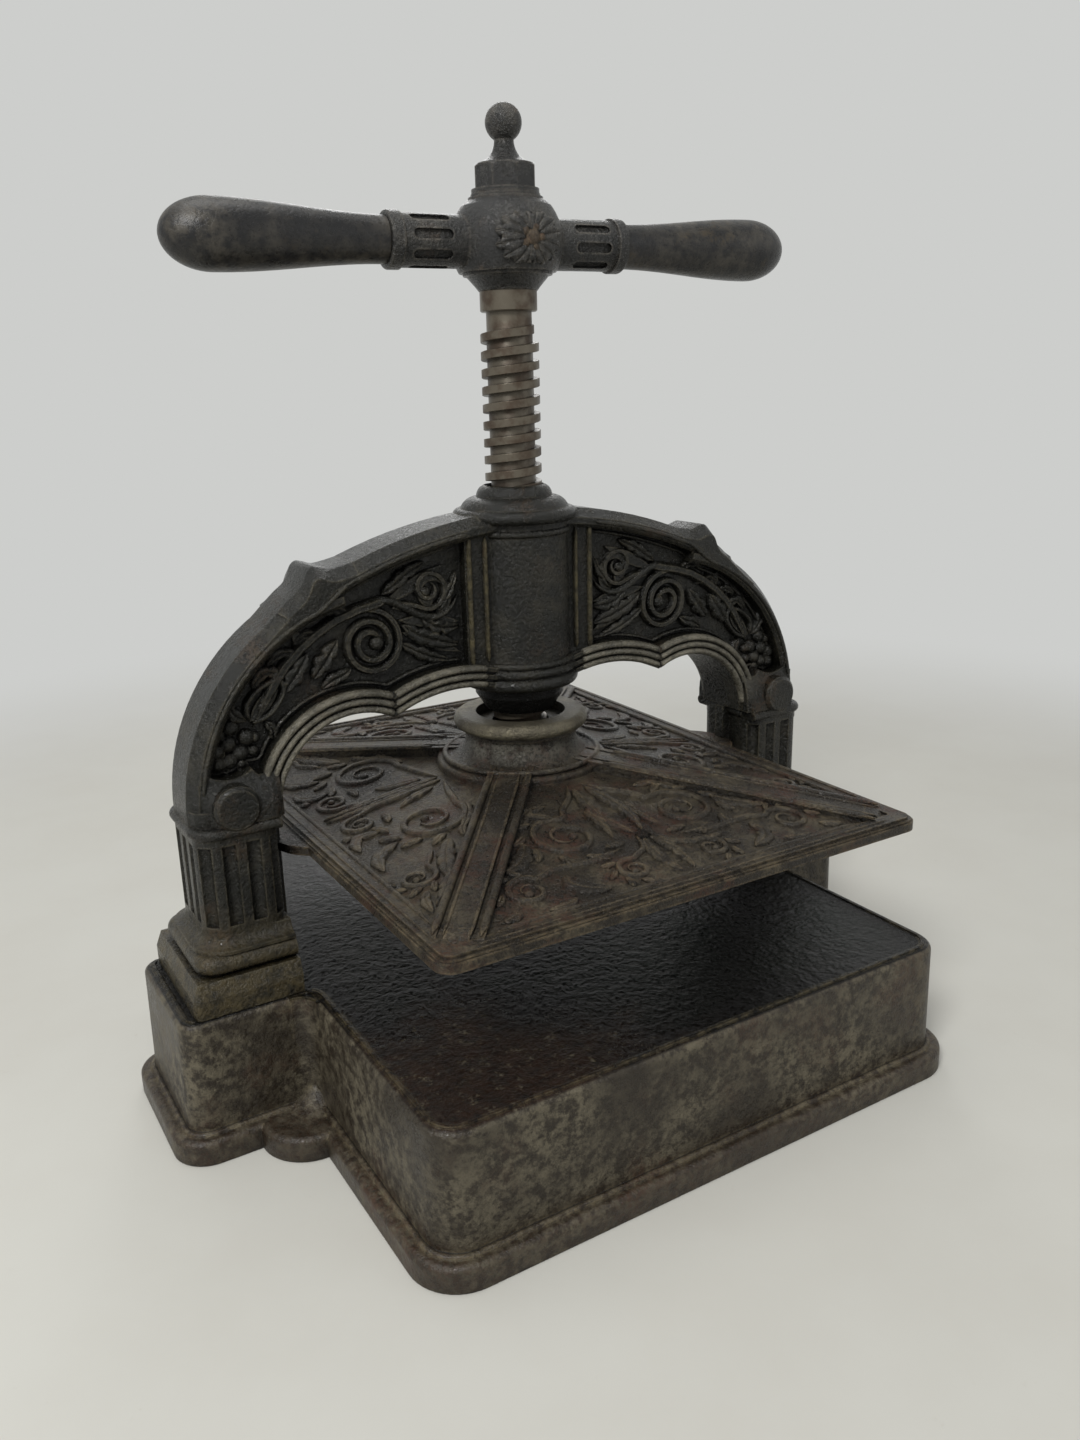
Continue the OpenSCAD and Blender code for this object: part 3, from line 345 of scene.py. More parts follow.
@dataclass(frozen=True)
class IronFinish:
    """Old oiled cast iron: a dark skin with a dull bloom, rust, worn edges, and painted shade together with
    dirt in its hollows.

    A tint, where there is one, comes in between two heights. A step is the pair of values of a noise or a
    mask between which something comes in, and a cover is how much of it shows at most.
    """

    name: str
    skin: Colour
    bloom: Colour
    rust: Colour
    worn: Colour
    pit: Colour = srgb(14, 12, 10)
    # Colour of the painted shade, together with dirt, that darkens the hollows.
    hollow_shade_and_grime: Colour = srgb(9, 8, 6)
    tint: Colour = srgb(84, 74, 50)
    tint_mm: Point | None = None
    bloom_part: float = 0.4
    rust_part: float = 0.12
    worn_part: float = 0.7
    patch_mm: float = 40.0
    mottle_finer: float = 5.0
    speck_finer: float = 18.0
    stain_share: float = 0.8
    grain_mm: float = 1.6
    grain_depth_mm: float = 0.16
    pit_depth_mm: float = 0.34
    round_mm: float = 0.9
    hollow_mm: float = 14.0
    edge_mm: float = 2.2
    smooth: float = 0.2
    rough: float = 0.42
    metallic: float = 0.1
    sheen: float = 0.3
    pitted: float = 0.35
    edge_step: Point = (0.015, 0.14)
    open_step: Point = (0.55, 0.85)
    unworn_step: Point = (0.62, 0.8)
    wear_drop: Point = (0.4, 0.3)
    bloom_step: Point = (0.36, 0.6)
    bloom_soft: float = 0.14
    rust_step: Point = (0.34, 0.58)
    rust_soft: float = 0.08
    tint_step: Point = (0.3, 0.6)
    pit_step: Point = (0.5, 0.36)
    dent_step: Point = (0.35, 0.62)
    hollow_shade_and_grime_step: Point = (0.8, 0.3)
    dull_step: Point = (0.38, 0.62)
    rust_cover: float = 0.85
    tint_cover: float = 0.7
    worn_cover: float = 0.8
    hollow_shade_and_grime_cover: float = 0.85
    speck_dull: float = 0.4
    rust_dull: float = 0.15

    def material(self) -> Material:
        """Builds the finish.

        Returns:
            The material.
        """
        g = Graph(self.name)
        patch = g.noise(self.patch_mm, seed=1.0)
        mottle = g.noise(self.patch_mm / self.mottle_finer, seed=2.0, fine=0.7)
        speck = g.noise(self.patch_mm / self.speck_finer, seed=3.0, detail=5.0)
        grain = g.noise(self.grain_mm, seed=4.0, detail=3.0)
        stain = g.noise(self.patch_mm * self.stain_share, seed=5.0)
        open_face = g.openness(self.hollow_mm)
        edge = g.times(g.level(g.edges(self.edge_mm), *self.edge_step), g.level(open_face, *self.open_step))
        low, high = (whole - drop * self.worn_part for whole, drop in zip(self.unworn_step, self.wear_drop))
        wear = g.times(edge, g.level(mottle, low, high))
        bloom = g.times(g.share(patch, self.bloom_part, self.bloom_soft), g.level(mottle, *self.bloom_step))
        rust = g.times(g.share(stain, self.rust_part, self.rust_soft), g.level(speck, *self.rust_step))
        colour = g.mix(bloom, self.skin, self.bloom)
        colour = g.mix(g.times(rust, self.rust_cover), colour, self.rust)
        if self.tint_mm is not None:
            start, full = (height * MM for height in self.tint_mm)
            tinted = g.times(g.level(g.axis("Z"), start, full), g.level(mottle, *self.tint_step))
            colour = g.mix(g.times(tinted, self.tint_cover), colour, self.tint)
        colour = g.mix(g.level(speck, *self.pit_step, to=(0.0, self.pitted)), colour, self.pit)
        colour = g.mix(g.times(wear, self.worn_cover), colour, self.worn)
        # Painted shade: the colour darkens where the openness is low, in hollows and creases, standing also
        # for dirt.
        colour = g.mix(g.level(open_face, *self.hollow_shade_and_grime_step, to=(0.0, self.hollow_shade_and_grime_cover)), colour, self.hollow_shade_and_grime)
        dull = g.level(g.blend(speck, patch, self.speck_dull), *self.dull_step, to=(self.smooth, self.rough))
        g.set(Base_Color=colour, Metallic=self.metallic, Specular_IOR_Level=self.sheen)
        g.set(Roughness=g.plus(dull, g.times(rust, self.rust_dull)))
        normal = g.bump(grain, self.grain_depth_mm, g.rounded(self.round_mm))
        g.set(Normal=g.bump(g.level(speck, *self.dent_step), self.pit_depth_mm, normal))
        return g.material


@dataclass(frozen=True)
class BedFinish:
    """Bed casting: glossy hammered black lacquer on top, and oiled iron with a grey bloom on the walls.

    Steps and covers are as for the iron. The foot is the lowest part of the walls.
    """

    name: str = "bed_lacquer_and_iron"
    lacquer: Colour = srgb(9, 8, 7)
    bare: Colour = srgb(42, 29, 21)
    wall: Colour = srgb(42, 36, 28)
    bloom: Colour = srgb(110, 103, 86)
    rust: Colour = srgb(64, 44, 32)
    worn: Colour = srgb(124, 112, 84)
    # Colour of the painted shade, together with dirt, that darkens the hollows.
    hollow_shade_and_grime: Colour = srgb(12, 10, 8)
    top_mm: Point = (76.8, 77.7)
    foot_mm: Point = (24.0, 10.0)
    patch_mm: float = 60.0
    mottle_mm: float = 6.5
    speck_mm: float = 2.6
    rust_mm: float = 45.0
    fleck_mm: float = 4.0
    lump_mm: float = 7.0
    wave_mm: float = 11.0
    lump_depth_mm: float = 0.9
    wave_depth_mm: float = 0.6
    pit_depth_mm: float = 0.22
    round_mm: float = 1.2
    hollow_mm: float = 16.0
    edge_mm: float = 3.0
    bare_corner_mm: Point = (-130.0, -185.0)
    bare_reach_mm: Point = (180.0, 20.0)
    bare_near: float = 0.4
    bare_patch: float = 0.8
    bare_step: Point = (0.5, 0.85)
    edge_step: Point = (0.012, 0.12)
    open_step: Point = (0.5, 0.8)
    worn_step: Point = (0.4, 0.58)
    bloom_part: float = 0.55
    bloom_soft: float = 0.16
    bloom_step: Point = (0.42, 0.6)
    bloom_cover: Point = (0.85, 0.7)
    rust_part: float = 0.25
    rust_foot: float = 0.35
    rust_step: Point = (0.35, 0.6)
    rust_cover: float = 0.75
    wall_worn_cover: float = 0.8
    top_worn_cover: float = 0.6
    bare_mottle_step: Point = (0.3, 0.6)
    fleck_step: Point = (0.54, 0.66)
    fleck_cover: float = 0.7
    hollow_shade_and_grime_step: Point = (0.72, 0.25)
    hollow_shade_and_grime_cover: float = 0.75
    dent_step: Point = (0.35, 0.62)
    metallic: float = 0.05
    wall_top_ior: Point = (1.4, 1.28)
    gloss: float = 0.16
    bare_dull: float = 0.25
    oily_step: Point = (0.38, 0.6)
    oily: Point = (0.22, 0.5)

    def material(self) -> Material:
        """Builds the finish.

        Returns:
            The material.
        """
        g = Graph(self.name)
        patch = g.noise(self.patch_mm, seed=11.0)
        mottle = g.noise(self.mottle_mm, seed=12.0, detail=9.0, fine=0.78)
        speck = g.noise(self.speck_mm, seed=13.0, detail=5.0)
        top = g.level(g.axis("Z"), *(height * MM for height in self.top_mm))
        open_face = g.openness(self.hollow_mm)
        edge = g.times(g.level(g.edges(self.edge_mm), *self.edge_step), g.level(open_face, *self.open_step))
        worn = g.times(edge, g.level(mottle, *self.worn_step))
        bare = g.level(g.plus(self.near_corner(g), g.times(patch, self.bare_patch)), *self.bare_step)
        wall = self.wall_colour(g, patch, mottle, speck)
        wall = g.mix(g.times(worn, self.wall_worn_cover), wall, self.worn)
        lacquer = g.mix(g.times(bare, g.level(mottle, *self.bare_mottle_step)), self.lacquer, self.bare)
        flecks = g.level(g.noise(self.fleck_mm, seed=17.0, detail=7.0, fine=0.75), *self.fleck_step)
        lacquer = g.mix(g.times(g.times(bare, flecks), self.fleck_cover), lacquer, self.bloom)
        lacquer = g.mix(g.times(worn, self.top_worn_cover), lacquer, self.worn)
        colour = g.mix(top, wall, lacquer)
        # Painted shade: the colour darkens where the openness is low, in hollows and under other parts,
        # standing also for dirt.
        colour = g.mix(g.level(open_face, *self.hollow_shade_and_grime_step, to=(0.0, self.hollow_shade_and_grime_cover)), colour, self.hollow_shade_and_grime)
        g.set(Base_Color=colour, Metallic=self.metallic, IOR=g.level(top, 0.0, 1.0, self.wall_top_ior))
        gloss = g.plus(self.gloss, g.times(bare, self.bare_dull))
        oily = g.level(g.blend(mottle, patch, 0.5), *self.oily_step, to=self.oily)
        g.set(Roughness=g.plus(g.times(top, gloss), g.times(g.sums("SUBTRACT", 1.0, top), oily)))
        lumps = g.times(g.noise(self.lump_mm, seed=14.0, detail=1.5, fine=0.5), top)
        normal = g.bump(lumps, self.lump_depth_mm, g.rounded(self.round_mm))
        normal = g.bump(g.level(speck, *self.dent_step), self.pit_depth_mm, normal)
        waves = g.noise(self.wave_mm, seed=16.0, detail=4.0, fine=0.5)
        g.set(Normal=g.bump(waves, self.wave_depth_mm, normal))
        return g.material

    def wall_colour(self, g: Graph, patch: Socket, mottle: Socket, speck: Socket) -> Socket:
        """Colour of the walls, with their bloom and rust.

        Args:
            g: Material that the colour is for.
            patch: Wide noise.
            mottle: Finer noise.
            speck: Finest noise.

        Returns:
            The colour.
        """
        foot = g.level(g.axis("Z"), *(height * MM for height in self.foot_mm))
        bloom = g.times(g.share(patch, self.bloom_part, self.bloom_soft), g.level(mottle, *self.bloom_step))
        bloom = g.times(bloom, g.level(foot, 0.0, 1.0, self.bloom_cover))
        stain = g.share(g.noise(self.rust_mm, seed=15.0), self.rust_part)
        rusty = g.plus(stain, g.times(foot, self.rust_foot))
        rusty = g.times(rusty, g.level(speck, *self.rust_step))
        return g.mix(g.times(rusty, self.rust_cover), g.mix(bloom, self.wall, self.bloom), self.rust)

    def near_corner(self, g: Graph) -> Socket:
        """How near the surface is to the corner where the lacquer has gone.

        Args:
            g: Material that the mask is for.

        Returns:
            The nearness, which is 0 far from the corner.
        """
        across, along = (g.sums("SUBTRACT", g.axis(letter), corner * MM)
                         for letter, corner in zip("XY", self.bare_corner_mm))
        square = g.plus(g.times(across, across), g.times(along, along))
        far, near = (reach * MM for reach in self.bare_reach_mm)
        return g.level(g.sums("SQRT", square, 0.0), far, near, (0.0, self.bare_near))


@dataclass(frozen=True)
class SteelFinish:
    """Turned steel or bronze that has gone dull. Steps and covers are as for the iron."""

    name: str
    colour: Colour
    stain: Colour
    stain_part: float = 0.35
    smooth: float = 0.3
    rough: float = 0.5
    metallic: float = 0.75
    # Colour of the painted shade, together with dirt, that darkens the hollows.
    hollow_shade_and_grime: Colour = srgb(24, 20, 16)
    stain_mm: float = 14.0
    speck_mm: float = 1.6
    speck_depth_mm: float = 0.08
    round_mm: float = 0.4
    hollow_mm: float = 6.0
    stain_cover: float = 0.85
    hollow_shade_and_grime_step: Point = (0.75, 0.3)
    hollow_shade_and_grime_cover: float = 0.7
    dull_step: Point = (0.35, 0.62)

    def material(self) -> Material:
        """Builds the finish.

        Returns:
            The material.
        """
        g = Graph(self.name)
        stain = g.noise(self.stain_mm, seed=21.0)
        speck = g.noise(self.speck_mm, seed=22.0, detail=4.0)
        open_face = g.openness(self.hollow_mm)
        stained = g.times(g.share(stain, self.stain_part), self.stain_cover)
        colour = g.mix(stained, self.colour, self.stain)
        # Painted shade: the colour darkens where the openness is low, in hollows and creases, standing also
        # for dirt.
        colour = g.mix(g.level(open_face, *self.hollow_shade_and_grime_step, to=(0.0, self.hollow_shade_and_grime_cover)), colour, self.hollow_shade_and_grime)
        g.set(Base_Color=colour, Metallic=self.metallic)
        g.set(Roughness=g.level(stain, *self.dull_step, to=(self.smooth, self.rough)))
        g.set(Normal=g.bump(speck, self.speck_depth_mm, g.rounded(self.round_mm)))
        return g.material


def smooth_line(points: Sequence[Point], spans: int = 7) -> list[Point]:
    """Runs a smooth line through points.

    Args:
        points: Points to pass, in order.
        spans: Steps from one point to the next.

    Returns:
        The points of the smooth line.
    """
    whole = [points[0], *points, points[-1]]
    line: list[Point] = []
    for a, b, c, d in zip(whole, whole[1:], whole[2:], whole[3:]):
        for i in range(spans):
            t = i / spans
            line.append(tuple(
                0.5 * (2 * q + (r - p) * t + (2 * p - 5 * q + 4 * r - s) * t * t
                       + (3 * q - p - 3 * r + s) * t ** 3)
                for p, q, r, s in zip(a, b, c, d)))
    line.append(tuple(points[-1]))
    return line


def arc(centre: Point, radius: float, start: float, end: float, steps: int) -> list[Point]:
    """Points along an arc.

    Args:
        centre: Centre of the arc.
        radius: Radius of the arc.
        start: First angle, in degrees.
        end: Last angle, in degrees.
        steps: Steps along the arc.

    Returns:
        The points.
    """
    angles = [math.radians(start + (end - start) * i / steps) for i in range(steps + 1)]
    return [(centre[0] + radius * math.cos(a), centre[1] + radius * math.sin(a)) for a in angles]


def bearing(centre: Point, point: Point) -> float:
    """Angle of a point seen from a centre, in degrees."""
    return math.degrees(math.atan2(point[1] - centre[1], point[0] - centre[0]))


def wider(circle: Round, off: float) -> Round:
    """Circle about the same centre, with its radius larger by the given amount."""
    return circle[0], circle[1] + off


def angle_at(circle: Round, x: float) -> float:
    """Angle, in degrees, at which the upper half of a circle has the given X."""
    return math.degrees(math.acos((x - circle[0][0]) / circle[1]))


def crossing(first: Round, second: Round) -> Point:
    """Upper point where two circles cross.

    Args:
        first: Centre and radius of one circle.
        second: Centre and radius of the other.

    Returns:
        The point.
    """
    (a, a_r), (b, b_r) = first, second
    span = math.dist(a, b)
    along = (a_r ** 2 - b_r ** 2 + span ** 2) / (2 * span)
    off = math.sqrt(a_r ** 2 - along ** 2)
    u, v = (b[0] - a[0]) / span, (b[1] - a[1]) / span
    points = [(a[0] + u * along - t * v * off, a[1] + v * along + t * u * off) for t in (1, -1)]
    return max(points, key=lambda point: point[1])


def chain(*arcs: tuple[Point, float, float, float]) -> list[Point]:
    """Points along arcs that run on from one to the next.

    Args:
        arcs: Centre, radius, first and last angle of each arc.

    Returns:
        The points.
    """
    points: list[Point] = []
    for centre, radius, start, end in arcs:
        steps = max(int(abs(end - start) / CHAIN_STEP_DEG), 2)
        points.extend(arc(centre, radius, start, end, steps)[bool(points):])
    return points


def run_lengths(line: Sequence[Point]) -> list[float]:
    """Length of a line from its start to each of its points.

    Args:
        line: Points of the line.

    Returns:
        The lengths, which start with zero.
    """
    lengths = [0.0]
    for p, q in zip(line, line[1:]):
        lengths.append(lengths[-1] + math.dist(p, q))
    return lengths


def heading(line: Sequence[Point], index: int) -> Point:
    """Direction of a line at one of its points.

    Args:
        line: Points of the line.
        index: Which point.

    Returns:
        The direction, of length one.
    """
    before, after = line[max(index - 1, 0)], line[min(index + 1, len(line) - 1)]
    span = math.dist(before, after) or 1.0
    return (after[0] - before[0]) / span, (after[1] - before[1]) / span


def full_turn(radius: float, steps: int) -> list[Point]:
    """Points once round a circle about the origin."""
    return arc((0.0, 0.0), radius, 0.0, 360.0, steps)[:-1]


@dataclass
class Shell:
    """Points and faces of a piece, gathered tube by tube."""

    vertices: list[Vector] = field(default_factory=list)
    faces: list[list[int]] = field(default_factory=list)

    def wall(self, rows: Sequence[Sequence[Vector]]) -> int:
        """Adds a tube through rows of points, closed at its first end.

        Args:
            rows: Rows of points, each once round the tube.

        Returns:
            Number of the first point of the last row.
        """
        first, n = len(self.vertices), len(rows[0])
        for row in rows:
            self.vertices.extend(row)
        last = len(self.vertices) - n
        self.faces.append([first + k for k in reversed(range(n))])
        for start in range(first, last, n):
            for k in range(n):
                a, b = start + k, start + (k + 1) % n
                self.faces.append([a, b, b + n, a + n])
        return last

    def tube(self, rows: Sequence[Sequence[Vector]]) -> None:
        """Adds a tube through rows of points, closed flat at both ends."""
        last = self.wall(rows)
        self.faces.append([last + k for k in range(len(rows[0]))])

    def dome(self, rows: Sequence[Sequence[Vector]], tip: Vector) -> None:
        """Adds a tube that is closed flat at its first end and runs to a tip at its last.

        Args:
            rows: Rows of points, each once round the tube.
            tip: Point that the last row closes on.
        """
        last, n = self.wall(rows), len(rows[0])
        self.vertices.append(tip)
        for k in range(n):
            self.faces.append([last + k, last + (k + 1) % n, last + n])

    def piece(self, name: str, material: Material, sharp_deg: float = 40.0) -> bpy.types.Object:
        """Makes the piece.

        Args:
            name: Name of the piece.
            material: Finish of the piece.
            sharp_deg: Edges sharper than this stay sharp.

        Returns:
            The piece.
        """
        mesh = bpy.data.meshes.new(name)
        mesh.from_pydata([tuple(v) for v in self.vertices], [], self.faces)
        mesh.validate()
        mesh.materials.append(material)
        mesh.shade_smooth()
        mesh.set_sharp_from_angle(angle=math.radians(sharp_deg))
        piece = bpy.data.objects.new(name, mesh)
        bpy.context.scene.collection.objects.link(piece)
        return piece


def seat(piece: bpy.types.Object, body: Body) -> None:
    """Makes a piece ride on a body.

    Args:
        piece: Piece that is already in place.
        body: Body that it rides on.
    """
    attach(piece, body.value)
    LOG.info("%s: %d faces on %s", piece.name, len(piece.data.polygons), body.value)


def dress(node: str, material: Material) -> None:
    """Gives a solid of the frame its finish.

    Args:
        node: Name of the solid.
        material: Finish.
    """
    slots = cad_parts[node].material_slots
    for index in range(len(slots)):
        slots[index].material = material
    if not slots:
        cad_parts[node].data.materials.append(material)
    LOG.info("%s: %s", node, material.name)


@dataclass(frozen=True)
class Coil:
    """Drawing of a band that coils into a volute. Millimetres and degrees."""

    lead: tuple[Point, ...]
    centre: Point
    radii: Point
    angles: Point
    width: float
    height: float


@dataclass(frozen=True)
class Spray:
    """Drawing of small leaves that spring from the outside of a volute. Millimetres and degrees."""

    centre: Point
    radius: float
    angles: Point
    count: int
    length: float
    height: float


@dataclass(frozen=True)
class Leaf:
    """Drawing of an acanthus leaf: points along its middle, from the stalk to the tip. Millimetres."""

    points: tuple[Point, ...]
    width: float
    height: float
    lobes: int


@dataclass
class Relief:
    """Raised ornament on one surface, gathered into a single piece. Sizes are in millimetres.

    Sections give the place across a band, as a share of half its width, and the height there, as a share of
    its own. Where that is zero, the band goes into the surface.
    """

    name: str
    place: Place
    sink: float = 0.8
    shell: Shell = field(default_factory=Shell)

    band_section: ClassVar[tuple[Point, ...]] = (
        (-1.0, 0.0), (-0.85, 0.5), (-0.45, 0.93), (0.0, 1.0), (0.45, 0.93), (0.85, 0.5), (1.0, 0.0))
    band_end_w: ClassVar[float] = 0.08
    band_end_h: ClassVar[float] = 0.35
    coil_step_deg: ClassVar[float] = 24.0
    coil_bend: ClassVar[float] = 0.85
    coil_eye: ClassVar[Point] = (0.62, 1.1)
    spray_bend: ClassVar[Point] = (0.5, 0.22)
    spray_tip: ClassVar[Point] = (1.0, 0.62)
    spray_w: ClassVar[float] = 0.52
    spray_lobes: ClassVar[int] = 3
    leaf_section: ClassVar[tuple[Point, ...]] = (
        (-1.0, 0.0), (-0.95, 0.5), (-0.74, 0.9), (-0.42, 1.0), (-0.14, 0.86), (0.0, 0.66),
        (0.14, 0.86), (0.42, 1.0), (0.74, 0.9), (0.95, 0.5), (1.0, 0.0))
    leaf_belly: ClassVar[float] = 0.75
    leaf_end_w: ClassVar[float] = 0.06
    leaf_end_h: ClassVar[float] = 0.5
    lobe_steps: ClassVar[int] = 4
    lobe_lean: ClassVar[float] = 0.3
    lobe_cut: ClassVar[float] = 0.42
    lobe_dip: ClassVar[float] = 0.35
    berry_around: ClassVar[int] = 12
    berry_rings: ClassVar[int] = 4
    sharp_deg: ClassVar[float] = 50.0
    tiny: ClassVar[float] = 1e-6

    def stroke(self, points: Sequence[Point], width: float, height: float,
               ends: Point = (0.15, 0.15), crease: float = 0.0, spans: int = 7) -> None:
        """Lays a rounded band along a line.

        Args:
            points: Points that the band passes.
            width: Greatest width.
            height: Greatest height.
            ends: Share of the length over which each end narrows.
            crease: Depth of the groove along the middle, as a share of the height.
            spans: Steps from one point to the next.
        """
        line = smooth_line(points, spans)
        lengths = run_lengths(line)
        rows: list[list[Vector]] = []
        for i, (u, v) in enumerate(line):
            du, dv = heading(line, i)
            share = lengths[i] / lengths[-1]
            near = min(share / max(ends[0], self.tiny), (1 - share) / max(ends[1], self.tiny), 1.0)
            full = max(math.sin(near * math.pi / 2), self.band_end_w)
            top = height * (self.band_end_h + (1 - self.band_end_h) * full)
            row: list[Vector] = []
            for across, rise in self.band_section:
                off = across * width / 2 * full
                groove = 0.0 if across else crease
                up = (rise - groove) * top if rise else -self.sink
                row.append(self.place(u - dv * off, v + du * off, up))
            rows.append(row)
        self.shell.tube(rows)

    def plain_band(self, points: Sequence[Point], width: float, height: float) -> None:
        """Lays a rounded band of even width along a line that is already smooth."""
        self.stroke(points, width, height, ends=(0.0, 0.0), spans=3)

    def bar(self, start: Point, end: Point, width: float, height: float, ends: Point) -> None:
        """Lays a straight rounded band.

        Args:
            start: First point.
            end: Last point.
            width: Width of the band.
            height: Height of the band.
            ends: Share of the length over which each end narrows.
        """
        middle = ((start[0] + end[0]) / 2, (start[1] + end[1]) / 2)
        self.stroke([start, middle, end], width, height, ends)

    def volute(self, coil: Coil) -> None:
        """Lays a band that coils into a volute with a round eye.

        Args:
            coil: Drawing of the volute.
        """
        (start, end), (first_r, last_r) = coil.angles, coil.radii
        steps = int(abs(end - start) / self.coil_step_deg)
        line: list[Point] = list(coil.lead)
        for i in range(steps + 1):
            t = i / steps
            a = math.radians(start + (end - start) * t)
            r = first_r + (last_r - first_r) * t ** self.coil_bend
            line.append((coil.centre[0] + r * math.cos(a), coil.centre[1] + r * math.sin(a)))
        self.stroke(line, coil.width, coil.height, ends=(0.12, 0.3), crease=0.12, spans=4)
        eye_w, eye_h = self.coil_eye
        self.berry(line[-1], coil.width * eye_w, coil.height * eye_h)

    def spray(self, spray: Spray) -> None:
        """Lays small leaves that spring from the outside of a volute.

        Args:
            spray: Drawing of the leaves.
        """
        start, end = spray.angles
        way = math.copysign(1.0, end - start)
        for i in range(spray.count):
            a = math.radians(start + (end - start) * i / (spray.count - 1))
            out, on = Vector((math.cos(a), math.sin(a))), Vector((-math.sin(a), math.cos(a))) * way
            stalk = Vector(spray.centre) + out * spray.radius
            bend, tip = (stalk + on * spray.length * ahead + out * spray.length * aside
                         for ahead, aside in (self.spray_bend, self.spray_tip))
            points = (tuple(stalk), tuple(bend), tuple(tip))
            self.leaf(Leaf(points, spray.length * self.spray_w, spray.height, self.spray_lobes))

    def leaf(self, leaf: Leaf) -> None:
        """Lays an acanthus leaf with a creased middle, whose lobes lean to the tip along both edges.

        Args:
            leaf: Drawing of the leaf.
        """
        spans = self.lobe_steps * leaf.lobes // (len(leaf.points) - 1)
        line = smooth_line(leaf.points, max(spans, self.lobe_steps))
        lengths = run_lengths(line)
        rows: list[list[Vector]] = []
        for i, (u, v) in enumerate(line):
            share = lengths[i] / lengths[-1]
            du, dv = heading(line, i)
            belly = max(math.sin(math.pi * share ** self.leaf_belly), 0.0)
            full = belly ** self.leaf_belly + self.leaf_end_w
            dip = (1 - math.sin(math.pi * (share * leaf.lobes % 1.0))) ** 2
            half = leaf.width / 2 * full * (1 - self.lobe_cut * dip)
            lean = leaf.width * self.lobe_lean * full
            top = leaf.height * (self.leaf_end_h + (1 - self.leaf_end_h) * full)
            row: list[Vector] = []
            for across, rise in self.leaf_section:
                on, off = lean * abs(across), half * across
                up = top * rise * (1 - self.lobe_dip * dip * abs(across)) if rise else -self.sink
                row.append(self.place(u + du * on - dv * off, v + dv * on + du * off, up))
            rows.append(row)
        self.shell.tube(rows)

    def berry(self, centre: Point, radius: float, height: float) -> None:
        """Lays a round bead.

        Args:
            centre: Middle of the bead.
            radius: Radius of the bead.
            height: Height of the bead.
        """
        rows: list[list[Vector]] = []
        for ring in range(self.berry_rings + 1):
            a = ring / (self.berry_rings + 1) * math.pi / 2
            up = height * math.sin(a) if ring else -self.sink
            rows.append([self.place(centre[0] + u, centre[1] + v, up)
                         for u, v in full_turn(radius * math.cos(a), self.berry_around)])
        self.shell.dome(rows, self.place(*centre, height))

    def build(self, body: Body, slot: Slot, material: Material) -> None:
        """Makes the piece and seats it.

        Args:
            body: Body that it rides on.
            slot: Material slot; not used.
            material: Finish.
        """
        seat(self.shell.piece(self.name, material, self.sharp_deg), body)


# Leaves of the arch's panel, roughly from the boss out to the column. The drawing is of the right-hand half.
PANEL_LEAVES = (
    Leaf(((93, 284), (85, 289), (76, 295), (66, 299.5)), 9.0, 4.8, 4),
    Leaf(((70, 270), (64, 264), (56, 261), (46, 261)), 10.0, 4.8, 4),
    Leaf(((82, 266), (72, 259), (60, 254), (46, 250)), 11.0, 4.8, 5),
    Leaf(((84, 256), (74, 250), (64, 245), (52, 241.5)), 8.5, 4.2, 4),
    Leaf(((60, 270), (55, 277), (50, 284), (46.5, 292)), 7.0, 4.0, 3),
    Leaf(((112, 276), (119, 279), (125, 279), (131, 275)), 6.5, 4.0, 3),
    Leaf(((126, 266), (133, 268), (139, 267.5), (145, 263)), 6.5, 4.2, 3),
    Leaf(((137.5, 258), (142, 251.5), (147, 245), (152.5, 238)), 12.0, 5.4, 3),
    Leaf(((120, 263), (125, 256.5), (130, 250), (135.5, 243)), 11.5, 5.4, 3),
    Leaf(((113, 246), (118, 243), (124, 241), (131, 237)), 8.5, 4.2, 3),
    Leaf(((152, 247), (158, 250.5), (164, 249.5), (169, 243)), 8.0, 4.2, 3),
    Leaf(((142, 257), (148, 259.5), (154, 259), (160, 254)), 6.5, 4.0, 3),
    Leaf(((167, 230), (164, 235), (160, 239)), 5.0, 4.0, 3),
    Leaf(((173, 226), (180, 231), (183, 239), (180, 247)), 9.0, 4.2, 3),
    Leaf(((164, 225), (160, 219), (160, 213)), 7.0, 3.8, 3),
)

# Berries of the panel: the eyes of its two volutes, and the large and small ones of its bunch.
PANEL_EYES: tuple[tuple[Point, float, float], ...] = (((97.0, 257.6), 4.6, 4.8), ((66.5, 282.4), 3.8, 4.2))
LARGE_BERRIES: tuple[Point, ...] = (
    (182, 224), (174.5, 217.5), (184.5, 215.5), (191, 212), (178.5, 209.5), (190.5, 205), (184.5, 206))
SMALL_BERRIES: tuple[Point, ...] = ((171.5, 209.5), (188.5, 221), (178.5, 203.5), (170, 216.5))
LARGE_BERRY: Point = (4.9, 5.0)
SMALL_BERRY: Point = (3.4, 3.8)


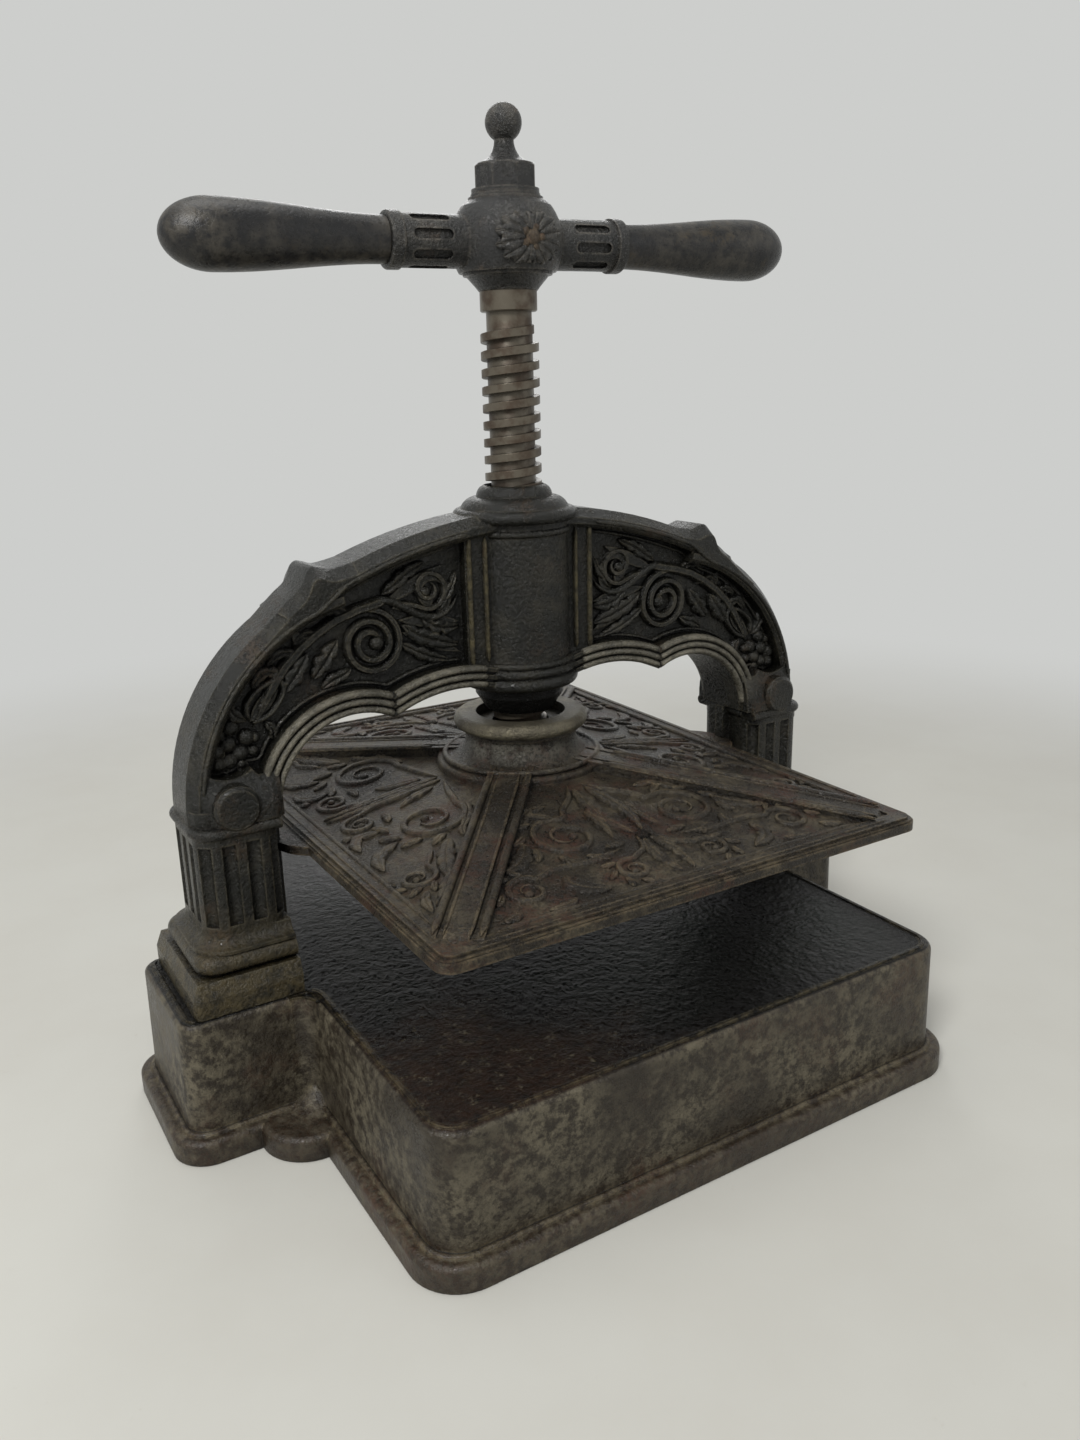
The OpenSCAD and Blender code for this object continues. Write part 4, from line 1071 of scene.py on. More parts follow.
@dataclass
class ArchCasting:
    """Arch with its boss and columns: mouldings, and sunk panels with cast scrolls. Millimetres.

    The drawing is of the right-hand half. A bead is given by its width and height.
    """

    web_t: float = 20.0
    strip_t: float = 34.0
    rim_t: float = 42.0
    ridge_t: float = 27.0
    reed_t: float = 37.6
    crown: Round = ((0.0, 19.7), 304.0)
    crown_end_x: float = 116.0
    shoulder: Round = ((94.0, 178.7), 116.5)
    shoulder_deg: Point = (70.0, 7.0)
    corner: Round = ((115.0, 175.7), 46.0)
    bow: Round = ((52.0, 139.7), 86.0)
    rim_w: float = 11.0
    rim_bead: Point = (2.8, 1.4)
    rim_bead_in: float = 7.3
    reed_w: float = 13.2
    reeds_count: int = 3
    reed_bead: Point = (4.4, 3.2)
    reed_foot_deg: float = 6.0
    reed_end_x: float = 32.0
    strip_x: float = 43.0
    strip_beads: tuple[tuple[float, Point, Point], ...] = (
        (30.4, (238.0, 311.0), (3.0, 2.4)), (40.6, (236.0, 313.0), (3.2, 2.0)))
    strip_middle: float = 275.0
    spring_z: float = 175.7
    border_in: float = 2.2
    border_bead: Point = (2.6, 2.6)
    border_foot: float = 22.0
    border_foot_line: tuple[Triple, ...] = ((196.0, -1.0, 6.0), (187.0, 0.0, 0.0), (178.0, 1.0, 5.0))
    border_corner: Point = (28.0, 93.0)
    border_bow_x: float = 91.0
    column: Point = (187.5, 28.0)
    disc_r: float = 12.0
    foot_x: Point = (162.0, 204.5)
    foot_run: Point = (12.0, 8.5)
    foot_inner: float = 0.6
    foot_h: float = 23.2
    foot_lift: float = 4.0
    foot_fall: float = 5.0
    foot_proud: float = 0.6
    foot_sunk: Point = (0.4, 2.0)
    foot_swell: tuple[Point, ...] = (
        (0.0, 1.0), (6.0, 1.0), (11.5, 0.88), (16.5, 0.6), (20.5, 0.26), (23.0, 0.0))
    foot_steps: int = 28
    cusp_x: float = 127.0
    cusp_blend: float = 14.0
    cusp_proud: float = 0.3
    cusp_round: float = 0.4
    cusp_bevel: float = 5.9
    cusp_skirt: float = 7.8
    cusp_top: tuple[Point, ...] = (
        (168.0, 268.4), (160.0, 274.6), (152.2, 281.6), (145.2, 287.8), (139.6, 292.1), (136.6, 296.2),
        (134.2, 301.6), (131.2, 303.7), (127.6, 303.1), (122.1, 301.5), (115.0, 302.4), (108.0, 303.9))

    def on_face(self, face: Face, hand: Hand, depth: float) -> Place:
        """Where a point of the right-hand half's drawing lies on a face of the arch.

        Args:
            face: Front or back.
            hand: Half of the arch, the left being the mirror image of the drawing.
            depth: Distance of the face from the middle of the arch.

        Returns:
            The function that places a point.
        """
        return lambda u, v, h: Vector((hand.value * u, face.value * (depth + h), v)) * MM

    def relief(self, name: str, face: Face, hand: Hand, depth: float) -> Relief:
        """Starts a relief on one half of a face."""
        return Relief(f"{name}_{face.name}_{hand.name}".lower(), self.on_face(face, hand, depth))

    def rim_line(self, inset: float, start_x: float) -> list[Point]:
        """Line along the crown and down the shoulder.

        Args:
            inset: Distance from the outside of the arch.
            start_x: Where the line starts beside the boss.

        Returns:
            The points of the line.
        """
        crown, shoulder = (wider(circle, -inset) for circle in (self.crown, self.shoulder))
        start, end = (angle_at(crown, x) for x in (start_x, self.crown_end_x))
        return [*arc(*crown, start, end, steps=8), *arc(*shoulder, *self.shoulder_deg, steps=12)]

    def border(self, inset: float) -> list[Point]:
        """Line round a panel, drawn in from its mouldings.

        Args:
            inset: Distance from the mouldings.

        Returns:
            The points of the line, from the boss along the crown and back.
        """
        corner, bow = (wider(circle, self.reed_w + inset) for circle in (self.corner, self.bow))
        foot_z = self.spring_z + self.border_foot + inset
        corner_deg, corner_x = self.border_corner
        return [
            *self.rim_line(self.rim_w + inset, self.strip_x + inset)[:-2],
            *((x + way * inset, foot_z + up) for x, way, up in self.border_foot_line),
            *arc(*corner, corner_deg, angle_at(corner, corner_x), steps=10),
            *arc(*bow, angle_at(bow, self.border_bow_x), angle_at(bow, self.strip_x + inset), steps=6),
        ]

    def scrolls(self, art: Relief) -> None:
        """Lays the stems and volutes of a panel.

        Args:
            art: Relief of the panel.
        """
        stem = chain(((82.0, 186.4), 95.4, 22.0, 88.0))
        art.stroke(stem, width=7.4, height=5.4, ends=(0.2, 0.06), crease=0.1, spans=3)
        branch = [(99, 282), (88, 280), (79, 275), (70, 270), (60, 268), (51, 272), (46, 279)]
        art.stroke(branch, width=5.4, height=5.0, ends=(0.1, 0.4))
        large_coil = chain(
            ((102.7, 258.0), 19.0, 70.0, 180.0), ((99.2, 258.0), 15.5, 180.0, 360.0),
            ((102.2, 258.0), 12.5, 0.0, 180.0), ((99.2, 258.0), 9.5, 180.0, 360.0),
            ((102.2, 258.0), 6.5, 0.0, 180.0))
        art.stroke(large_coil, width=5.0, height=4.4, ends=(0.05, 0.05), crease=0.1, spans=2)
        small_coil = chain(
            ((64.5, 283.0), 10.0, 290.0, 90.0), ((64.5, 286.0), 7.0, 90.0, -90.0),
            ((64.5, 283.4), 4.4, 270.0, 100.0))
        art.stroke([(86.0, 278.0), (77.0, 277.0), *small_coil], width=4.2, height=4.2, ends=(0.1, 0.15),
                   crease=0.1, spans=3)
        husk = [(172, 225.5), (173, 235), (165, 243), (155, 246), (152.6, 239), (160, 229), (171, 224.5)]
        art.stroke(husk, width=3.8, height=4.8, ends=(0.08, 0.08))

    def panel(self, face: Face, hand: Hand, iron: Material) -> None:
        """Lays the border, scrolls, leaves and berries of one panel.

        Args:
            face: Front or back.
            hand: Half of the arch.
            iron: Finish.
        """
        art = self.relief("panel_scrolls", face, hand, self.web_t / 2)
        art.plain_band(self.border(self.border_in), *self.border_bead)
        self.scrolls(art)
        for leaf in PANEL_LEAVES:
            art.leaf(leaf)
        for eye in PANEL_EYES:
            art.berry(*eye)
        for berries, size in ((LARGE_BERRIES, LARGE_BERRY), (SMALL_BERRIES, SMALL_BERRY)):
            for middle in berries:
                art.berry(middle, *size)
        art.build(Body.FRAME, Slot.ARCH, iron)

    def mouldings(self, face: Face, hand: Hand, iron: Material, lit_reed_finish: Material) -> None:
        """Lays the round reeds under the arch and the bead along its rim.

        Args:
            face: Front or back.
            hand: Half of the arch.
            iron: Finish of the bead.
            lit_reed_finish: Finish of the reeds: a lighter copy of the arch's iron, which paints in the light
                that they catch.
        """
        art = self.relief("arch_reeds", face, hand, self.reed_t / 2)
        for i in range(self.reeds_count):
            off = self.reed_w * (2 * i + 1) / (2 * self.reeds_count)
            corner, bow = (wider(circle, off) for circle in (self.corner, self.bow))
            meet = crossing(corner, bow)
            upright = arc(*corner, self.reed_foot_deg, bearing(corner[0], meet), steps=16)
            level = arc(*bow, bearing(bow[0], meet), angle_at(bow, self.reed_end_x), steps=8)
            art.plain_band(upright, *self.reed_bead)
            art.plain_band(level, *self.reed_bead)
        # The reeds take a lighter copy of the arch's iron: painted light.
        art.build(Body.FRAME, Slot.ARCH, lit_reed_finish)
        bead = self.relief("rim_bead", face, hand, self.rim_t / 2)
        bead.plain_band(self.rim_line(self.rim_bead_in, self.strip_x), *self.rim_bead)
        bead.build(Body.FRAME, Slot.ARCH, iron)

    def outside_z(self, x: float) -> float:
        """Height of the outside of the arch, run smoothly from the crown into the shoulder.

        Args:
            x: Distance from the middle of the arch.

        Returns:
            The height.
        """
        crown, shoulder = (c[1] + math.sqrt(r * r - (x - c[0]) ** 2) for c, r in (self.crown, self.shoulder))
        t = min(max((x - self.cusp_x) / self.cusp_blend + 0.5, 0.0), 1.0)
        return crown + (shoulder - crown) * t * t * (3 - 2 * t)

    def cusp(self, hand: Hand, iron: Material) -> None:
        """Lays the bevelled moulding that runs over the cusp of one shoulder.

        Args:
            hand: Half of the arch.
            iron: Finish.
        """
        side, flat, soft = self.rim_t / 2 + self.cusp_proud, self.ridge_t / 2, self.cusp_round
        art = Relief(f"cusp_{hand.name}".lower(), self.on_face(Face.FRONT, hand, 0.0))
        rows: list[list[Vector]] = []
        for x, z in smooth_line(self.cusp_top, spans=6):
            low = self.outside_z(x) - self.cusp_skirt
            half = [(side, low), (side, z - self.cusp_bevel), (flat + soft, z - soft), (flat - soft, z)]
            loop = [*half, *((-y, up) for y, up in reversed(half))]
            rows.append([Vector((hand.value * x, y, up)) * MM for y, up in loop])
        art.shell.tube(rows)
        art.build(Body.FRAME, Slot.ARCH, iron)

    def foot(self, face: Face, hand: Hand, iron: Material) -> None:
        """Lays the swelling by which the arch's face runs out to the column, round the disc.

        Args:
            face: Front or back.
            hand: Half of the arch.
            iron: Finish.
        """
        middle, depth = self.column
        face_y, back_y = self.rim_t / 2 - self.foot_sunk[0], self.web_t / 2 - self.foot_sunk[1]
        (start, end), (run_in, run_out) = self.foot_x, self.foot_run
        art = self.relief("arch_foot", face, hand, 0.0)
        rows: list[list[Vector]] = []
        for i in range(self.foot_steps + 1):
            x = start + (end - start) * i / self.foot_steps
            full = max(min((end - x) / run_out, self.foot_inner + (x - start) / run_in, 1.0), 0.0)
            off = abs(x - middle) / self.disc_r
            lift = self.foot_lift * min(off * off, max(1 - self.foot_fall * (off - 1), 0.0))
            top = self.spring_z + self.foot_h + lift
            out = (depth + self.foot_proud - face_y) * full
            loop = [(back_y, self.spring_z)]
            loop += [(face_y + out * share, self.spring_z + up) for up, share in self.foot_swell]
            loop += [(face_y, top), (back_y, top)]
            rows.append([art.place(x, z, y) for y, z in loop])
        art.shell.tube(rows)
        art.build(Body.FRAME, Slot.ARCH, iron)

    def strips(self, face: Face, hand: Hand, iron: Material) -> None:
        """Lays the upright beads beside the boss.

        Args:
            face: Front or back.
            hand: Half of the arch.
            iron: Finish.
        """
        art = self.relief("boss_beads", face, hand, self.strip_t / 2)
        for x, (low, high), size in self.strip_beads:
            art.stroke([(x, z) for z in (low, self.strip_middle, high)], *size, ends=(0.02, 0.02))
        art.build(Body.FRAME, Slot.ARCH, iron)

    def build(self, iron: Material, ochre: Material, lit_reed_finish: Material) -> None:
        """Dresses the casting and lays its relief.

        Args:
            iron: Finish of the casting.
            ochre: Finish of the beads beside the boss.
            lit_reed_finish: Finish of the reeds: a lighter copy of the arch's iron, which paints in the light
                that they catch.
        """
        dress("arch_casting", iron)
        for hand in Hand:
            self.cusp(hand, iron)
            for face in Face:
                self.panel(face, hand, iron)
                self.mouldings(face, hand, iron, lit_reed_finish)
                self.foot(face, hand, iron)
                self.strips(face, hand, ochre)


@dataclass(frozen=True)
class FieldDrawing:
    """Drawing of the scrolls on half of one field of the platen. Millimetres."""

    coils: tuple[Coil, ...]
    sprays: tuple[Spray, ...]
    leaves: tuple[Leaf, ...]
    berry: tuple[Point, float, float]

    def lay(self, art: Relief) -> None:
        """Lays the scrolls, leaves and berry.

        Args:
            art: Relief that they go on.
        """
        for coil in self.coils:
            art.volute(coil)
        for spray in self.sprays:
            art.spray(spray)
        for leaf in self.leaves:
            art.leaf(leaf)
        art.berry(*self.berry)


# Right half of the front field.
END_FIELD = FieldDrawing(
    coils=(
        Coil(((4, -58), (12, -72), (24, -84)), (38, -110), (21.0, 3.6), (118.0, -520.0), 4.4, 2.0),
        Coil(((20, -134), (40, -138), (62, -136)), (84, -148), (13.0, 2.6), (140.0, -420.0), 4.4, 1.9),
        Coil(((4, -126), (8, -138), (16, -143)), (25, -154), (10.0, 2.2), (120.0, -420.0), 3.8, 1.8),
    ),
    sprays=(
        Spray((38, -110), 22.5, (100.0, -120.0), 7, 11.0, 1.9),
        Spray((84, -148), 14.0, (110.0, 10.0), 4, 8.5, 1.8),
        Spray((25, -154), 10.5, (60.0, -70.0), 4, 8.0, 1.7),
    ),
    leaves=(
        Leaf(((4, -64), (7, -84), (8, -102), (3, -122)), 10.0, 2.1, 6),
        Leaf(((46, -164), (56, -160), (62, -152), (60, -143)), 10.0, 1.9, 4),
        Leaf(((62, -106), (68, -116), (76, -124), (86, -128)), 11.0, 1.9, 4),
        Leaf(((30, -76), (40, -76), (48, -82), (54, -92)), 9.0, 1.9, 4),
        Leaf(((96, -160), (101, -164), (108, -166)), 7.0, 1.7, 3),
        Leaf(((2, -130), (6, -148), (4, -166)), 8.0, 1.9, 5),
        Leaf(((66, -164), (74, -167), (84, -167)), 6.0, 1.7, 3),
        Leaf(((14, -90), (13, -106), (16, -122)), 6.0, 1.7, 4),
    ),
    berry=((0, -126), 4.0, 2.4),
)

# Back half of the right field.
SIDE_FIELD = FieldDrawing(
    coils=(
        Coil(((57, 4), (62, 20), (65, 34)), (87, 46), (22.0, 3.8), (200.0, -430.0), 4.4, 2.0),
        Coil(((96, 4), (104, 5), (112, 8)), (118, 20), (11.0, 2.4), (-100.0, 440.0), 3.8, 1.8),
        Coil(((102, 80), (108, 88), (112, 94)), (122, 102), (11.0, 2.4), (200.0, -300.0), 3.8, 1.8),
    ),
    sprays=(
        Spray((87, 46), 23.5, (150.0, -40.0), 7, 11.0, 1.9),
        Spray((122, 102), 11.5, (120.0, 0.0), 4, 8.5, 1.8),
    ),
    leaves=(
        Leaf(((58, 2), (84, 3), (108, 3), (131, 2)), 7.0, 2.0, 8),
        Leaf(((114, 38), (124, 36), (130, 42), (131, 52)), 8.0, 1.8, 4),
        Leaf(((112, 58), (122, 62), (129, 70), (131, 82)), 9.0, 1.9, 4),
        Leaf(((90, 76), (98, 88), (104, 100), (110, 114)), 11.0, 2.0, 5),
        Leaf(((104, 108), (112, 118), (119, 127), (127, 134)), 9.0, 1.9, 4),
        Leaf(((62, 42), (66, 52), (72, 62), (80, 72)), 8.0, 1.9, 4),
        Leaf(((66, 8), (74, 10), (84, 13), (92, 18)), 7.0, 1.8, 4),
        Leaf(((124, 118), (129, 126), (131, 138)), 6.0, 1.7, 3),
    ),
    berry=((131, 32), 3.0, 1.9),
)


@dataclass
class PlatenCasting:
    """Platen with low cast scrolls on the sloping fields between its ribs. Millimetres.

    A bead is given by its width and height.
    """

    rim_z: float = 154.0
    rise: float = 21.0
    half: Point = (138.0, 172.5)
    rim_in: float = 1.0
    rim_reach: Point = (116.0, 148.0)
    rim_bead: Point = (3.6, 2.4)
    line_out: float = 5.5
    line_beads: tuple[Point, Point] = ((1.8, 2.9), (1.8, 3.0))
    rim_ends: Point = (0.01, 0.01)
    rib_w: float = 26.0
    rib_start: Point = (34.0, 22.77)
    rib_end: Point = (207.9, 3.0)
    rib_run: Point = (56.0, 214.0)
    rib_edge: float = 0.43
    rib_inner: float = 0.24
    edge_bead: Point = (4.2, 1.5)
    inner_bead: Point = (2.0, 0.7)
    rib_ends: Point = (0.01, 0.03)
    toe_depth: float = 5.0
    toe_groove: Point = (1.8, 1.0)
    toe: tuple[Point, ...] = ((205.9, -0.02), (214.0, -0.02), (218.0, -2.2))

    def on_field(self, turn: int) -> Place:
        """Where a point of a field's drawing lies on the sloping fields.

        Args:
            turn: 1 turns the drawing by half a turn.

        Returns:
            The function that places a point.
        """
        sign = -1 if turn else 1

        def place(u: float, v: float, h: float) -> Vector:
            """Lays a point of the drawing on the slope."""
            out = max(abs(u) / self.half[0], abs(v) / self.half[1])
            return Vector((sign * u, sign * v, self.rim_z + self.rise * (1 - out) + h)) * MM

        return place

    def on_rib(self, x_sign: int, y_sign: int) -> Place:
        """Where a point lies on a rib: along it from the middle, across it, and over its top.

        Args:
            x_sign: Sign of X of the rib's corner.
            y_sign: Sign of Y of the rib's corner.

        Returns:
            The function that places a point.
        """
        along = Vector((x_sign * self.half[0], y_sign * self.half[1], 0.0)).normalized()
        across = Vector((-along.y, along.x, 0.0))
        (near, high), (far, low) = self.rib_start, self.rib_end

        def place(u: float, v: float, h: float) -> Vector:
            """Lays a point on the rib's sloping top."""
            up = high + (low - high) * (u - near) / (far - near)
            return (along * u + across * v + Vector((0, 0, self.rim_z + up + h))) * MM

        return place

    def rib(self, x_sign: int, y_sign: int, iron: Material) -> None:
        """Lays the round beads along a rib and the toe by which it dies into the rim.

        Args:
            x_sign: Sign of X of the rib's corner.
            y_sign: Sign of Y of the rib's corner.
            iron: Finish.
        """
        name = f"rib_beads_{'right' if x_sign > 0 else 'left'}_{'back' if y_sign > 0 else 'front'}"
        art = Relief(name, self.on_rib(x_sign, y_sign))
        start, end = self.rib_run
        edge, inner = self.rib_edge * self.rib_w, self.rib_inner * self.rib_w
        for side in (1, -1):
            for off, size in ((side * edge, self.edge_bead), (side * inner, self.inner_bead)):
                art.bar((start, off), (end, off), *size, self.rib_ends)
        half, (groove_in, groove) = self.rib_w / 2, self.toe_groove
        outer = edge - groove_in
        section = ((half, -self.toe_depth), (half, 0.0), (outer, 0.0), (outer, -groove),
                   (inner, -groove), (inner, 0.0))
        loop = [*section, *((-v, up) for v, up in reversed(section))]
        art.shell.tube([[art.place(u, v, up + drop) for v, up in loop] for u, drop in self.toe])
        art.build(Body.PLATEN, Slot.PLATEN, iron)

    def rim(self, turn: int, where: str, iron: Material) -> None:
        """Lays the bead inside half of the platen's rim and the fine line along its top.

        Args:
            turn: 0 for the half at the front and right, 1 for the other.
            where: Name of the half.
            iron: Finish.
        """
        art = Relief(f"rim_beads_{where}", self.on_field(turn))
        (x, y), (reach_x, reach_y) = self.half, self.rim_reach
        bead_x, bead_y = x - self.rim_in, self.rim_in - y
        art.bar((-reach_x, bead_y), (reach_x, bead_y), *self.rim_bead, self.rim_ends)
        art.bar((bead_x, -reach_y), (bead_x, reach_y), *self.rim_bead, self.rim_ends)
        line_x, line_y = x + self.line_out, -self.line_out - y
        end_line, side_line = self.line_beads
        art.bar((-x, line_y), (x, line_y), *end_line, self.rim_ends)
        art.bar((line_x, -y), (line_x, y), *side_line, self.rim_ends)
        art.build(Body.PLATEN, Slot.PLATEN, iron)

    def end_field(self, turn: int, where: str, iron: Material) -> None:
        """Lays the scrolls of the front or back field.

        Args:
            turn: 0 for the front and 1 for the back.
            where: Name of the field.
            iron: Finish.
        """
        place = self.on_field(turn)
        for hand in Hand:
            art = Relief(f"platen_scrolls_{where}_{hand.name.lower()}",
                         lambda u, v, h, mirror=hand.value: place(mirror * u, v, h))
            END_FIELD.lay(art)
            art.build(Body.PLATEN, Slot.PLATEN, iron)

    def side_field(self, turn: int, where: str, iron: Material) -> None:
        """Lays the scrolls of the left or right field.

        Args:
            turn: 0 for the right and 1 for the left.
            where: Name of the field.
            iron: Finish.
        """
        place = self.on_field(turn)
        for hand in Hand:
            art = Relief(f"platen_scrolls_{where}_{hand.name.lower()}",
                         lambda u, v, h, mirror=hand.value: place(u, mirror * v, h))
            SIDE_FIELD.lay(art)
            art.build(Body.PLATEN, Slot.PLATEN, iron)

    def build(self, iron: Material, collar: Material, steel: Material, bronze: Material) -> None:
        """Dresses the platen's solids and lays its relief.

        Args:
            iron: Finish of the casting.
            collar: Finish of the collar.
            steel: Finish of the grub screw.
            bronze: Finish of the thrust pad.
        """
        dress("platen_casting", iron)
        dress("platen_collar", collar)
        dress("collar_grub_screw", steel)
        dress("thrust_pad", bronze)
        halves = (("front", "right"), ("back", "left"))
        for turn, (end, side) in enumerate(halves):
            self.rim(turn, f"{end}_{side}", iron)
        for turn, (end, side) in enumerate(halves):
            self.end_field(turn, end, iron)
            self.side_field(turn, side, iron)
        for x_sign in (1, -1):
            for y_sign in (1, -1):
                self.rib(x_sign, y_sign, iron)


@dataclass
class ScrewSpindle:
    """Screw with a right-hand square thread, its foot, neck, shoulder, square and stud. Millimetres.

    The thread's profile gives the share of the pitch and the share of its height. The foot and the shoulder
    have a radius, a lower and an upper end, the square a width and both ends, the pivot and the stud a radius
    and one end.
    """

    pitch: float = 9.5
    crest_r: float = 16.45
    core_r: float = 13.0
    core_skin: float = 0.02
    core_cut: float = 0.6
    profile: tuple[Point, ...] = (
        (0.0, 0.0), (0.02, 0.12), (0.03, 0.9), (0.06, 1.0),
        (0.49, 1.0), (0.52, 0.9), (0.53, 0.12), (0.55, 0.0))
    thread_gap: float = 1.0
    run_out_turn: float = 0.35
    foot: Triple = (23.95, 171.8, 182.8)
    pivot: Point = (15.95, 158.7)
    thread_top: float = 420.0
    thread_end: float = 429.5
    neck_r: float = 12.8
    shoulder: Triple = (16.0, 431.0, 442.0)
    shoulder_cut: float = 0.7
    square: Triple = (20.0, 442.0, 489.0)
    square_cut: float = 1.5
    stud: Point = (7.0, 506.0)
    stud_cut: float = 1.0
    steps: int = 56
    sharp_deg: float = 30.0

    def thread(self, shell: Shell) -> None:
        """Adds the thread as one band that climbs round the core.

        Args:
            shell: Points and faces of the screw.
        """
        turns = int((self.thread_end - self.foot[2] - self.thread_gap) / self.pitch)
        start = self.thread_end - (turns + 1) * self.pitch
        total = turns * self.steps
        rows: list[list[Vector]] = []
        for i in range(total + 1):
            a = 2 * math.pi * i / self.steps
            run_out = min((total - i) / (self.steps * self.run_out_turn), 1.0)
            row: list[Vector] = []
            for share, rise in reversed(self.profile):
                r = self.core_r + (self.crest_r - self.core_r) * rise * run_out
                z = start + self.pitch * (i / self.steps + share)
                row.append(Vector((r * math.cos(a), r * math.sin(a), z)) * MM)
            rows.append(row)
        shell.tube(rows)

    def turned(self, shell: Shell) -> None:
        """Adds the turned shaft: pivot, foot, core, neck, shoulder and stud.

        Args:
            shell: Points and faces of the screw.
        """
        (pivot_r, pivot_z), (stud_r, stud_top) = self.pivot, self.stud
        foot_r, foot_z, foot_top = self.foot
        shoulder_r, shoulder_z, shoulder_top = self.shoulder
        core_r = self.core_r + self.core_skin
        outline = (
            (pivot_r, pivot_z), (pivot_r, foot_z), (foot_r, foot_z), (foot_r, foot_top),
            (core_r, foot_top), (core_r, self.thread_top - self.core_cut),
            (self.neck_r, self.thread_top), (self.neck_r, shoulder_z),
            (shoulder_r - self.shoulder_cut, shoulder_z), (shoulder_r, shoulder_z + self.shoulder_cut),
            (shoulder_r, shoulder_top), (stud_r, shoulder_top),
            (stud_r, stud_top - self.stud_cut), (stud_r - self.stud_cut, stud_top))
        shell.tube([[Vector((x, y, z)) * MM for x, y in full_turn(r, self.steps)] for r, z in outline])

    def drive(self, shell: Shell) -> None:
        """Adds the square that drives the lever.

        Args:
            shell: Points and faces of the screw.
        """
        side, low, top = self.square
        turn = Matrix.Rotation(math.radians(LEVER_DEG), 3, "Z")
        half, near = side / 2, side / 2 - self.square_cut
        ring = ((half, near), (near, half), (-near, half), (-half, near),
                (-half, -near), (-near, -half), (near, -half), (half, -near))
        shell.tube([[turn @ Vector((x, y, z)) * MM for x, y in ring] for z in (low, top)])

    def build(self, steel: Material) -> None:
        """Makes the screw, which stands for its plain solid.

        Args:
            steel: Finish.
        """
        shell = Shell()
        self.turned(shell)
        self.drive(shell)
        self.thread(shell)
        piece = shell.piece("threaded_screw", steel, self.sharp_deg)
        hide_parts("screw_spindle")
        seat(piece, Body.SPINDLE)


